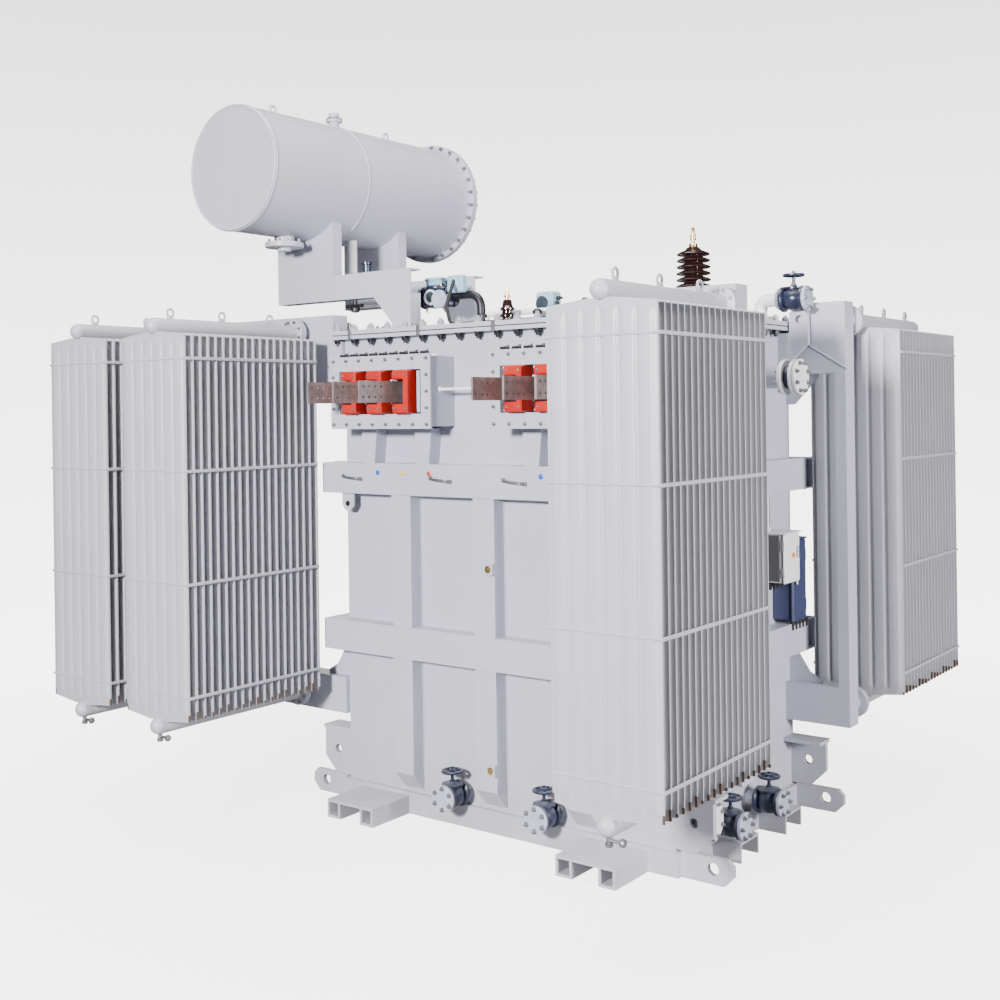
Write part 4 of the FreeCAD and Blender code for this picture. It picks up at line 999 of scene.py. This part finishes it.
def gate_valve(group, root, along, reach, up=Z, bore=0.036, flange=0.070, wheel_radius=0.052):
    """Cast gate valve with a neck, bolted flanges, a bonnet with its wheel and a pale blind flange."""
    root, along, up = Vector(root), Vector(along), Vector(up)
    plate, body_length = 0.018, 0.100
    neck = reach - body_length - 3 * plate
    group["grey_paint"].turned([(bore, 0), (bore, neck + 0.002)], root, along, 28)
    group["grey_paint"].turned([(bore + 0.014, 0), (bore + 0.004, 0.010)], root, along, 28)
    start = root + along * neck
    swell = bore + 0.026
    body = [(flange - 0.002, 0), (flange, 0.002), (flange, plate - 0.002), (flange - 0.002, plate),
            (bore + 0.012, plate + 0.006), (swell, plate + 0.030), (swell, plate + 0.070), (bore + 0.012,
                                                                                            plate + 0.094),
            (flange - 0.002, plate + 0.100), (flange, plate + 0.102), (flange, 2 * plate + 0.098),
            (flange - 0.002, 2 * plate + 0.100)]
    group["valve_paint"].turned(body, start, along, 36)
    face = start + along * (2 * plate + body_length)
    group["pale_steel"].turned([(flange - 0.002, 0), (flange, 0.002), (flange, plate - 0.003),
                                  (flange - 0.003, plate), (flange * 0.35, plate), (flange * 0.33,
                                                                                    plate - 0.002),
                                  (0, plate - 0.002)], face, along, 36)
    group.bolts += ring_of(face + along * plate, along, flange * 0.80, 6)
    group.bolts += ring_of(start, -along, flange * 0.80, 6)
    middle = start + along * (plate + body_length / 2)
    bonnet = [(bore, 0), (bore, swell - 0.010), (swell - 0.004, swell - 0.008),
              (swell - 0.004, swell + 0.003),
              (0.026, swell + 0.005), (0.014, swell + 0.014), (0.014, swell + 0.024)]
    group["valve_paint"].turned(bonnet, middle, up, 28)
    wheel(group["valve_paint"], middle + up * 0.036, up, wheel_radius)


class TRANSFORMER_OT_base_valves(bpy.types.Operator):
    """Drain and filter valves near the ground"""
    bl_idname = "transformer.base_valves"
    bl_label = "Base valves"

    def execute(self, context):
        flats = sizes().flange_bolt
        front = Group("front_valve")
        for x in (-0.215, 0.385):
            gate_valve(front, (x, -0.680, 0.190), -Y, 0.200)
        front.finished("front_valves", flats=flats)
        side = Group("side_valve")
        for y in (-0.365, 0.075):
            gate_valve(side, (1.075, y, 0.190), X, 0.220)
        side.finished("side_valves", flats=flats)
        blind = Group("side_blind")
        low, high = corners("side_blind_flange")
        middle = ((low.y + high.y) / 2, (low.z + high.z) / 2)
        blind["grey_paint"].turned([(0.078, 0), (0.070, 0.008), (0.070, 0.090)], (low.x, *middle), X, 36)
        blind["white_enamel"].turned([(0.098, 0), (0.100, 0.002), (0.100, 0.020), (0.098, 0.022),
                                      (0.098, 0.023),
                                      (0.100, 0.024), (0.100, 0.042), (0.098,
                                                                       0.044)], (low.x + 0.090, *middle), X, 40)
        blind.bolts += ring_of((high.x, *middle), X, 0.084, 8)
        blind.finished("side_blind_flange", flats=flats)
        return {"FINISHED"}


class TRANSFORMER_OT_top_valve(bpy.types.Operator):
    """Upper oil valve on its white elbow, and the flanged spool on the end wall"""
    bl_idname = "transformer.top_valve"
    bl_label = "Top valve and spool"

    def execute(self, context):
        flats = sizes().flange_bolt
        top = Group("top_valve")
        level = corners("tank_cover")[1].z
        axis = level + 0.118
        start = (1.000, 0.490)
        top["white_enamel"].tube(0.036, [(*start, level), (*start, axis), (1.135, start[1], axis)], 0.100, 24,
                                 8)
        top["white_enamel"].turned([(0.070, 0), (0.070, 0.014), (0.068, 0.016)], (*start, level), Z, 36)
        top.bolts += ring_of((*start, level + 0.016), Z, 0.056, 8)
        gate_valve(top, (1.105, start[1], axis), X, 0.180)
        top.finished("top_valve", flats=flats * 0.9)
        spool = Group("side_spool")
        low, high = corners("side_spool")
        at = ((low.y + high.y) / 2, (low.z + high.z) / 2)
        spool["grey_paint"].turned([(0.072, 0), (0.058, 0.014), (0.058, 0.215), (0.066, 0.235)], (low.x, *at),
                                   X, 36)
        for start, plate in ((0.235, 0.020), (0.295, 0.018)):
            spool["white_enamel"].turned([(0.0905, 0), (0.0925, 0.002), (0.0925, plate - 0.002),
                                          (0.0905, plate)],
                                         (low.x + start, *at), X, 40)
        spool["valve_paint"].turned([(0.060, 0), (0.064, 0.012), (0.064, 0.028), (0.060, 0.040)],
                                    (low.x + 0.255, *at), X, 36)
        spool["gasket_rubber"].turned([(0.088, 0), (0.088, 0.004)], (low.x + 0.313, *at), X, 36)
        spool["white_enamel"].turned([(0.0905, 0), (0.0925, 0.002), (0.0925, 0.016), (0.0905, 0.018),
                                      (0, 0.018)],
                                     (low.x + 0.317, *at), X, 40)
        spool.bolts += ring_of((high.x, *at), X, 0.076, 8)
        spool.bolts += ring_of((low.x + 0.235, *at), -X, 0.076, 8)
        spool.finished("side_spool", flats=flats)
        return {"FINISHED"}


# ---------------------------------------------------------------- cover fittings

def shed_profile(base, core, outer, pitch, count, taper):
    """Outline of a bushing: thin sheds that droop from a core."""
    profile = [(outer * 0.66, 0), (outer * 0.66, base * 0.8), (core, base)]
    for index in range(count):
        low = base + pitch * index
        reach = outer - taper * index
        profile += [(core, low + pitch * 0.16), (core + 0.006, low + pitch * 0.24),
                    (reach - 0.007, low + pitch * 0.22),
                    (reach - 0.001, low + pitch * 0.30), (reach, low + pitch * 0.42), (reach - 0.004,
                                                                                       low + pitch * 0.54),
                    (core + 0.018, low + pitch * 0.80), (core + 0.004, low + pitch * 0.95)]
    return profile


class TRANSFORMER_OT_bushings(bpy.types.Operator):
    """Glazed high-voltage bushing on its turret and the small neutral bushing"""
    bl_idname = "transformer.bushings"
    bl_label = "Bushings"

    def execute(self, context):
        low, high = corners("high_voltage_bushing")
        at = ((low.x + high.x) / 2, (low.y + high.y) / 2)
        height = high.z - low.z
        profile = shed_profile(0.020, 0.050, 0.099, 0.036, 6, 0.0012)
        profile += [(0.048, height - 0.018), (0.034, height - 0.002), (0.030, height), (0, height)]
        bushing = Group("high_voltage_bushing_glaze")
        bushing["brown_porcelain"].turned(profile, (*at, low.z), Z, 56)
        bushing["bolt_zinc"].turned([(0.066, 0), (0.070, 0.003), (0.070, 0.013), (0.064, 0.016)],
                                    (*at, low.z), Z, 48)
        bushing.bolts += ring_of((*at, low.z), Z, 0.115, 8)
        bushing.finished("high_voltage_bushing", flats=sizes().flange_bolt)
        stud_low, stud_high = corners("high_voltage_stud")
        stud = Group("high_voltage_stud_turned")
        stud["brass"].turned([(0.022, 0), (0.024, 0.003), (0.024, 0.019), (0.018, 0.022), (0.010, 0.024),
                              (0.010, 0.040),
                              (0.017, 0.041), (0.017, 0.053), (0.010, 0.054), (0.010, 0.060), (0.017, 0.061),
                              (0.017, 0.073), (0.010, 0.074), (0.010, 0.108), (0.008,
                                                                               stud_high.z - stud_low.z)],
                             (*at, stud_low.z), Z, 28)
        stud.finished("high_voltage_stud")
        turret_low = corners("bushing_turret")[0]
        run_seats("turret_bolts", ring_of((*at, turret_low.z + 0.016), Z, 0.124, 12), 0.020)
        low, high = corners("neutral_bushing")
        at = ((low.x + high.x) / 2, (low.y + high.y) / 2)
        neutral = Group("neutral_bushing_glaze")
        neutral["bolt_zinc"].turned([(0.060, 0), (0.060, 0.012), (0.058, 0.014)], (*at, low.z), Z, 32)
        neutral["brown_porcelain"].turned([(0.040, 0.014), (0.030, 0.020), (0.030, 0.034), (0.046, 0.040),
                                           (0.046, 0.046),
                                           (0.030, 0.060), (0.030, 0.072), (0.042, 0.078), (0.042,
                                                                                            0.084), (0.028, 0.098),
                                           (0.024, 0.126), (0.020, 0.132), (0, 0.132)], (*at, low.z), Z, 40)
        neutral["brass"].turned([(0.010, 0.130), (0.010, 0.146), (0.017, 0.147), (0.017, 0.158),
                                 (0.010, 0.159),
                                 (0.010, high.z - low.z)], (*at, low.z), Z, 20)
        neutral.bolts += ring_of((*at, low.z + 0.014), Z, 0.050, 6)
        neutral.finished("neutral_bushing", flats=0.013)
        return {"FINISHED"}


class TRANSFORMER_OT_oil_relay(bpy.types.Operator):
    """Oil pipe to the drum with its gas relay, and the light blue housings"""
    bl_idname = "transformer.oil_relay"
    bl_label = "Oil pipe and gas relay"

    def execute(self, context):
        low, high = corners("oil_pipe_and_gas_relay")
        level, y = 2.920, -0.300
        start, end, x = -1.375, -0.360, -0.680
        relay = Group("gas_relay")
        relay["white_enamel"].tube(0.030,
                                   [(start, y, high.z - 0.012), (start, y, level),
                                    (x - 0.096, y, level)], 0.10, 20, 8)
        relay["dark_steel"].tube(0.024, [(x + 0.096, y, level), (end, y, level), (end, y, low.z)], 0.16, 20,
                                 10)
        relay["blue_paint"].box((x + 0.130, y - 0.085, level + 0.010), (x + 0.245, y - 0.030, level + 0.110),
                                0.010)
        relay["blue_paint"].turned([(0.030, 0), (0.030, 0.010), (0.024, 0.014), (0, 0.016)],
                                   (x + 0.188, y - 0.084, level + 0.060), -Y, 24)
        relay["pale_steel"].turned([(0.052, 0), (0.054, 0.002), (0.054, 0.016), (0.050, 0.020)],
                                   (x + 0.060, y - 0.056, level - 0.020), -Y, 28)
        relay["white_enamel"].turned([(0.068, 0), (0.070, 0.002), (0.070, 0.014), (0.068, 0.016)],
                                     (end, y, low.z), Z, 32)
        relay.bolts += ring_of((end, y, low.z + 0.016), Z, 0.056, 6)
        for offset, along in ((-0.112, X), (0.096, X)):
            relay["valve_paint"].turned([(0.064, 0), (0.066, 0.002), (0.066, 0.014), (0.064, 0.016)],
                                        (x + offset, y, level), along, 32)
            relay.bolts += ring_of((x + offset + (0.016 if offset > 0 else 0.0), y, level),
                                   X if offset > 0 else -X, 0.052, 6)
        relay["valve_paint"].box((x - 0.080, y - 0.060, level - 0.062), (x + 0.080, y + 0.060, level + 0.060),
                                 0.014)
        relay["valve_paint"].turned([(0.072, 0), (0.074, 0.003), (0.074, 0.018), (0.072, 0.021)],
                                    (x, y, level + 0.041), Z, 36)
        relay["white_enamel"].torus(0.040, 0.008, (x - 0.012, y - 0.061, level - 0.004), Y, 32, 10)
        relay["lens_glass"].turned([(0.034, 0), (0.034, 0.003), (0.020, 0.006), (0, 0.007)],
                                   (x - 0.012, y - 0.058, level - 0.004), -Y, 28)
        relay["brass"].turned([(0.007, 0), (0.007, 0.028), (0.011, 0.029), (0.011, 0.036), (0.004, 0.038)],
                              (x + 0.055, y - 0.040, level + 0.040), Z, 12)
        relay["brass"].turned([(0.007, 0), (0.007, 0.024), (0.010, 0.025), (0, 0.030)],
                              (x - 0.055, y - 0.040, level - 0.062), -Z, 12)
        relay.finished("oil_pipe_and_gas_relay", flats=0.018)
        heads = Group("relay_housing")
        node_low, node_high = corners("relay_heads")
        blue = heads["blue_paint"]
        lid = level + 0.112
        blue.box((x - 0.060, y - 0.050, level + 0.060), (x + 0.060, y + 0.050, lid - 0.006), 0.010)
        blue.box((x - 0.064, y - 0.054, lid - 0.020), (x + 0.064, y + 0.054, lid), 0.006)
        heads["black_rubber"].turned([(0.012, 0), (0.012, 0.020), (0.008, 0.026), (0.008, 0.040)],
                                     (x + 0.062, y, lid - 0.030), X, 14)
        second = (-0.100, 0.000)
        heads["bolt_zinc"].turned([(0.044, 0), (0.044, 0.012), (0.024, 0.014), (0.024, 0.150)],
                                  (*second, node_low.z), Z, 24)
        blue.box((second[0] - 0.060, second[1] - 0.050, node_high.z - 0.240),
                 (second[0] + 0.060, second[1] + 0.050, node_high.z - 0.100), 0.012)
        blue.turned([(0.050, 0), (0.050, 0.012), (0.046, 0.016), (0, 0.018)],
                    (second[0], second[1] - 0.048, node_high.z - 0.170), -Y, 32)
        heads["lens_glass"].turned([(0.042, 0), (0.042, 0.004), (0, 0.006)],
                                   (second[0], second[1] - 0.066, node_high.z - 0.170), -Y, 32)
        heads["black_rubber"].turned([(0.012, 0), (0.012, 0.018), (0.008, 0.022), (0.008, 0.036)],
                                     (second[0] + 0.060, second[1], node_high.z - 0.140), X, 14)
        heads.finished("relay_heads", flats=0.012)
        return {"FINISHED"}


class TRANSFORMER_OT_cover_pipework(bpy.types.Operator):
    """Grab rail, relief dome, cable runs and small valves on the cover"""
    bl_idname = "transformer.cover_pipework"
    bl_label = "Cover pipework"

    def execute(self, context):
        level = corners("tank_cover")[1].z
        group = Group("cover_fittings")
        white = group["white_enamel"]
        white.tube(0.016,
                   [(-0.270, -0.370, level), (-0.270, -0.370, level + 0.070), (0.330, -0.370, level + 0.070),
                           (0.330, -0.370, level)], 0.05, 14, 6)
        dome = (0.350, -0.080)
        white.turned([(0.093, 0), (0.095, 0.002), (0.095, 0.012), (0.093, 0.014), (0.070, 0.016),
                      (0.070, 0.085),
                      (0.064, 0.104), (0.045, 0.110), (0.045, 0.130), (0.036, 0.140), (0,
                                                                                       0.144)], (*dome, level), Z, 40)
        group.bolts += ring_of((*dome, level + 0.014), Z, 0.082, 8)
        for x, y, height in ((0.140, -0.450, 0.075), (0.480, -0.500, 0.110), (-0.150, -0.560, 0.060),
                             (0.760, -0.420, 0.090)):
            group["dark_steel"].turned([(0.030, 0), (0.030, 0.010), (0.014, 0.012), (0.014, height * 0.6),
                                        (0.026, height * 0.62), (0.026, height * 0.85), (0.012,
                                                                                         height)], (x, y, level), Z, 20)
        cable = group["black_rubber"]
        cable.tube(0.010, [(-0.580, -0.300, 3.002), (-0.480, -0.400, 3.000), (-0.440, -0.520, 2.840),
                           (-0.380, -0.560, level + 0.012), (0.100, -0.560, level + 0.012), (0.480, -0.560,
                                                                                             level + 0.012)],
                   0.06, 10, 6)
        cable.tube(0.010, [(-0.040, 0.000, 2.870), (0.010, -0.060, 2.840), (0.060, -0.200, level + 0.012),
                           (0.420, -0.560, level + 0.012), (0.960, -0.560, level + 0.012)], 0.06, 10, 6)
        group["dark_steel"].box((-0.320, -0.585, level), (0.980, -0.540, level + 0.006), 0.001)
        for x in (-0.200, 0.050, 0.300, 0.550, 0.800):
            group["bolt_zinc"].box((x - 0.010, -0.590, level + 0.006), (x + 0.010, -0.535, level + 0.026),
                                   0.003)
        group.finished("cover_pipework", flats=0.018)
        return {"FINISHED"}


# ---------------------------------------------------------------- conservator

class TRANSFORMER_OT_conservator(bpy.types.Operator):
    """Bolted end, weld rings, lifting eyes, filler and drain of the oil conservator"""
    bl_idname = "transformer.conservator"
    bl_label = "Conservator"

    def execute(self, context):
        low, high = corners("conservator_near_end")
        x, z = (low.x + high.x) / 2, (low.z + high.z) / 2
        radius = (high.x - low.x) / 2
        front = low.y
        cover = corners("conservator_cover")
        rim = (cover[1].x - cover[0].x) / 2
        back = cover[1].y
        group = Group("conservator_details")
        paint = group["grey_paint"]
        for y in (front + 0.014, front + 0.770):
            paint.torus(radius + 0.0005, 0.0045, (x, y, z), Y, 96, 6)
        paint.torus(radius - 0.006, 0.006, (x, front + 0.001, z), Y, 96, 8)
        filler = (x, front + 0.8366)
        top = z + radius
        paint.turned([(0.032, -0.010), (0.032, 0.040), (0.050, 0.041), (0.052, 0.043), (0.052, 0.053),
                      (0.050, 0.055),
                      (0.024, 0.056), (0.024, 0.074), (0.034, 0.075), (0.034, 0.094), (0.030, 0.099), (0,
                                                                                                       0.100)],
                     (*filler, top), Z, 32)
        group.bolts += ring_of((*filler, top + 0.055), Z, 0.042, 6)
        for y in (front + 0.3204, front + 1.3172):
            paint.torus(0.022, 0.008, (x, y, top + 0.030), X, 28, 10)
            paint.box((x - 0.010, y - 0.026, top - 0.006), (x + 0.010, y + 0.026, top + 0.014), 0.003)
        base = z - radius
        drain = (x, front + 0.400)
        paint.turned([(0.060, 0.010), (0.060, -0.030), (0.113, -0.032), (0.115, -0.034), (0.115, -0.045),
                      (0.113, -0.0465),
                      (0.113, -0.0475), (0.115, -0.049), (0.115, -0.060), (0.113, -0.062), (0.040,
                                                                                            -0.063), (0.040, -0.082),
                      (0, -0.082)], (*drain, base), Z, 40)
        group.bolts += ring_of((*drain, base - 0.032), Z, 0.094, 8)
        group.finished("conservator_fittings", flats=0.018)
        flats = sizes().drum_bolt
        seats_list = ring_of((x, back, z), Y, (radius + rim) / 2 + 0.002, 28)
        seats_list += ring_of((x, back - 0.040, z), -Y, (radius + rim) / 2 + 0.002, 28)
        run_seats("conservator_cover_bolts", seats_list, flats * 0.8)
        gasket = Shape().turned([(rim - 0.004, 0), (rim - 0.004, 0.002)], (x, back - 0.021, z), Y, 96)
        ride(gasket.finished("conservator_gasket", "gasket_rubber"))
        support = Group("conservator_support")
        arms = corners("conservator_arms")
        valve = (-1.160, -0.400)
        for y in (arms[0].y + 0.020, arms[1].y - 0.110):
            for step in range(2):
                for offset in (0.020, 0.070):
                    support.bolts.append((Vector((arms[1].x - 0.010 - 0.285 * step, y + offset, 2.734)), Z))
        support["valve_paint"].turned([(0.034, 0), (0.034, 0.014), (0.026, 0.016), (0.026, 0.070),
                                       (0.034, 0.072),
                                       (0.034, 0.086)], (*valve, 3.070), Z, 24)
        support["dark_steel"].turned([(0.012, 0), (0.012, 0.050), (0.026, 0.052), (0.026, 0.074),
                                      (0.010, 0.080)],
                                     (-1.120, -0.545, 2.920), -Z, 20)
        support["dark_steel"].box((-1.190, -0.565, 2.870), (-1.060, -0.535, 2.888), 0.003)
        support.finished(flats=0.020)
        return {"FINISHED"}


# ---------------------------------------------------------------- end wall boxes

class TRANSFORMER_OT_wall_boxes(bpy.types.Operator):
    """Marshalling box with its cable entries, and the dark control cabinet"""
    bl_idname = "transformer.wall_boxes"
    bl_label = "Wall boxes"

    def execute(self, context):
        low, high = corners("marshalling_box")
        box = Group("marshalling_box_dressed")
        white = box["white_enamel"]
        white.box((low.x, low.y + 0.004, low.z + 0.004), (high.x - 0.020, high.y - 0.004, high.z - 0.006),
                  0.006)
        white.box((high.x - 0.018, low.y, low.z), (high.x, high.y, high.z - 0.004), 0.008)
        white.box((low.x, low.y - 0.006, high.z - 0.008), (high.x + 0.010, high.y + 0.006, high.z), 0.003)
        box["black_rubber"].box((high.x - 0.021, low.y + 0.004, low.z + 0.004),
                                (high.x - 0.017, high.y - 0.004, high.z - 0.010), 0.001)
        box["mark_orange"].turned([(0.016, 0), (0.016, 0.003), (0.010, 0.006), (0, 0.007)],
                                  (high.x, high.y - 0.085, high.z - 0.125), X, 24)
        box["bolt_zinc"].box((high.x, high.y - 0.045, low.z + 0.130),
                             (high.x + 0.012, high.y - 0.025, low.z + 0.190), 0.004)
        # Dark sheet over the box's front side: painted shade, standing in for the shade that face lies in.
        box["painted_shade_grey"].box((low.x + 0.012, low.y - 0.008, low.z + 0.012),
                              (high.x - 0.030, low.y + 0.002, high.z - 0.014), 0.002)
        for z in (low.z + 0.060, high.z - 0.070):
            box["bolt_zinc"].rod(0.007, (high.x - 0.010, low.y - 0.004, z - 0.025),
                                 (high.x - 0.010, low.y - 0.004, z + 0.025), 10)
        for index in range(4):
            y = low.y + 0.040 + index * 0.050
            box["black_rubber"].turned([(0.014, 0), (0.014, 0.020), (0.009, 0.026), (0.009, 0.040)],
                                       (low.x + 0.070, y, low.z), -Z, 14)
        box["bolt_zinc"].rod(0.011, (low.x + 0.050, low.y + 0.060, high.z - 0.004),
                             (low.x + 0.050, low.y + 0.060, 1.786), 14)
        box["bolt_zinc"].rod(0.017, (low.x + 0.050, low.y + 0.060, high.z - 0.002),
                             (low.x + 0.050, low.y + 0.060, high.z + 0.022), 6)
        box.finished("marshalling_box")
        low, high = corners("control_cabinet")
        cabinet = Group("control_cabinet_dressed")
        blue = cabinet["cabinet_paint"]
        blue.box((low.x, low.y + 0.005, low.z + 0.005), (high.x - 0.024, high.y - 0.005, high.z - 0.010),
                 0.006)
        blue.box((high.x - 0.021, low.y, low.z), (high.x, high.y, high.z - 0.008), 0.008)
        blue.box((low.x, low.y - 0.004, high.z - 0.010), (high.x + 0.006, high.y + 0.004, high.z), 0.003)
        cabinet["black_rubber"].box((high.x - 0.025, low.y + 0.006, low.z + 0.006),
                                    (high.x - 0.020, high.y - 0.006, high.z - 0.014), 0.001)
        cabinet["bolt_zinc"].box((high.x, low.y + 0.024, low.z + 0.200),
                                 (high.x + 0.014, low.y + 0.046, low.z + 0.300), 0.005)
        for z in (low.z + 0.080, high.z - 0.100):
            cabinet["bolt_zinc"].rod(0.008, (high.x - 0.010, high.y + 0.002, z - 0.03),
                                     (high.x - 0.010, high.y + 0.002, z + 0.03), 10)
        for index in range(5):
            y = low.y + 0.040 + index * 0.045
            cabinet["black_rubber"].turned([(0.014, 0), (0.014, 0.020), (0.009, 0.026), (0.009, 0.050)],
                                           (low.x + 0.100, y, low.z), -Z, 14)
        cabinet.finished("control_cabinet")
        return {"FINISHED"}


# ---------------------------------------------------------------- stage

CAMERA_PLACE = (4.075, -5.980, 2.250)
CAMERA_HEADING = math.atan2(0.605, 0.797)
CAMERA_ROLL = math.radians(-0.77)


def studio_world(name, glow, above, below):
    """Soft even light, and a pale backdrop that only the camera sees, lighter towards the floor."""
    world = bpy.data.worlds.new(name)
    world.use_nodes = True
    nodes, links = world.node_tree.nodes, world.node_tree.links
    light = nodes["Background"]
    light.inputs["Color"].default_value = (0.95, 0.96, 1.0, 1.0)
    light.inputs["Strength"].default_value = glow
    place = nodes.new("ShaderNodeTexCoord")
    split = nodes.new("ShaderNodeSeparateXYZ")
    links.new(place.outputs["Generated"], split.inputs[0])
    height = nodes.new("ShaderNodeMapRange")
    height.inputs["From Min"].default_value = -0.25
    height.inputs["From Max"].default_value = 0.35
    links.new(split.outputs["Z"], height.inputs["Value"])
    tone = nodes.new("ShaderNodeMix")
    tone.data_type = "RGBA"
    tone.inputs[6].default_value = (*below, 1.0)
    tone.inputs[7].default_value = (*above, 1.0)
    links.new(height.outputs["Result"], tone.inputs[0])
    backdrop = nodes.new("ShaderNodeBackground")
    links.new(tone.outputs[2], backdrop.inputs["Color"])
    seen = nodes.new("ShaderNodeLightPath")
    mix = nodes.new("ShaderNodeMixShader")
    links.new(seen.outputs["Is Camera Ray"], mix.inputs[0])
    links.new(light.outputs[0], mix.inputs[1])
    links.new(backdrop.outputs[0], mix.inputs[2])
    links.new(mix.outputs[0], nodes["World Output"].inputs["Surface"])
    return world


class TRANSFORMER_OT_stage(bpy.types.Operator):
    """Pale floor, soft studio lights and the camera"""
    bl_idname = "transformer.stage"
    bl_label = "Stage"

    def execute(self, context):
        bpy.ops.mesh.primitive_plane_add(size=60.0, location=(0.0, 0.0, -0.0005))
        floor = context.object
        floor.name = "studio_floor"
        floor.data.materials.append(studio_floor("Pale_Floor", colours().backdrop))
        target = Vector((0.0, 0.0, 1.4))
        for name, place, power, size in (("key", (1.5, -9.8, 4.0), 2450.0, 1.0),
                                         ("top", (0.0, -1.0, 9.0), 850.0, 5.0),
                                         ("side", (9.5, -1.7, 2.8), 1500.0, 1.6), ("far", (-7.0, 5.0, 5.0),
                                                                                   300.0, 5.0)):
            data = bpy.data.lights.new(name, "AREA")
            data.energy = power
            data.size = size
            lamp = bpy.data.objects.new(name, data)
            context.scene.collection.objects.link(lamp)
            lamp.location = place
            lamp.rotation_euler = (target - Vector(place)).to_track_quat("-Z", "Y").to_euler()
        context.scene.world = studio_world("studio", 0.08, (2.35, 2.33, 2.25), (6.20, 6.20, 6.00))
        data = bpy.data.cameras.new("camera")
        data.sensor_width = 36.0
        data.lens = sizes().lens
        data.shift_y = -0.09
        data.clip_end = 200.0
        camera = bpy.data.objects.new("camera", data)
        context.scene.collection.objects.link(camera)
        camera.matrix_world = (Matrix.Translation(CAMERA_PLACE) @ Matrix.Rotation(CAMERA_HEADING, 4, "Z")
                               @ Matrix.Rotation(math.pi / 2, 4, "X") @ Matrix.Rotation(CAMERA_ROLL, 4, "Z"))
        context.scene.camera = camera
        return {"FINISHED"}


# ---------------------------------------------------------------- add-on

OPERATORS = (TRANSFORMER_OT_finishes, TRANSFORMER_OT_radiators, TRANSFORMER_OT_cover_bolts,
             TRANSFORMER_OT_terminals,
             TRANSFORMER_OT_wall_details, TRANSFORMER_OT_weld_seams, TRANSFORMER_OT_base_valves,
             TRANSFORMER_OT_top_valve, TRANSFORMER_OT_bushings, TRANSFORMER_OT_oil_relay,
             TRANSFORMER_OT_cover_pipework, TRANSFORMER_OT_conservator, TRANSFORMER_OT_wall_boxes,
             TRANSFORMER_OT_stage)


class TRANSFORMER_PT_panel(bpy.types.Panel):
    """Sizes, colours and build steps of the transformer"""
    bl_idname = "TRANSFORMER_PT_panel"
    bl_label = "Transformer"
    bl_space_type = "VIEW_3D"
    bl_region_type = "UI"
    bl_category = "Transformer"

    def draw(self, context):
        for settings in (sizes(), colours()):
            column = self.layout.column()
            for name in settings.__annotations__:
                column.prop(settings, name)
        for operator in OPERATORS:
            self.layout.operator(operator.bl_idname)


CLASSES = (TransformerColours, TransformerSizes, *OPERATORS, TRANSFORMER_PT_panel)


def register():
    for item in CLASSES:
        bpy.utils.register_class(item)
    bpy.types.Scene.transformer_colours = PointerProperty(type=TransformerColours)
    bpy.types.Scene.transformer_sizes = PointerProperty(type=TransformerSizes)


def unregister():
    del bpy.types.Scene.transformer_sizes
    del bpy.types.Scene.transformer_colours
    for item in reversed(CLASSES):
        bpy.utils.unregister_class(item)


def main():
    register()
    for operator in OPERATORS:
        family, name = operator.bl_idname.split(".")
        getattr(getattr(bpy.ops, family), name)()


if __name__ == "__main__":
    main()
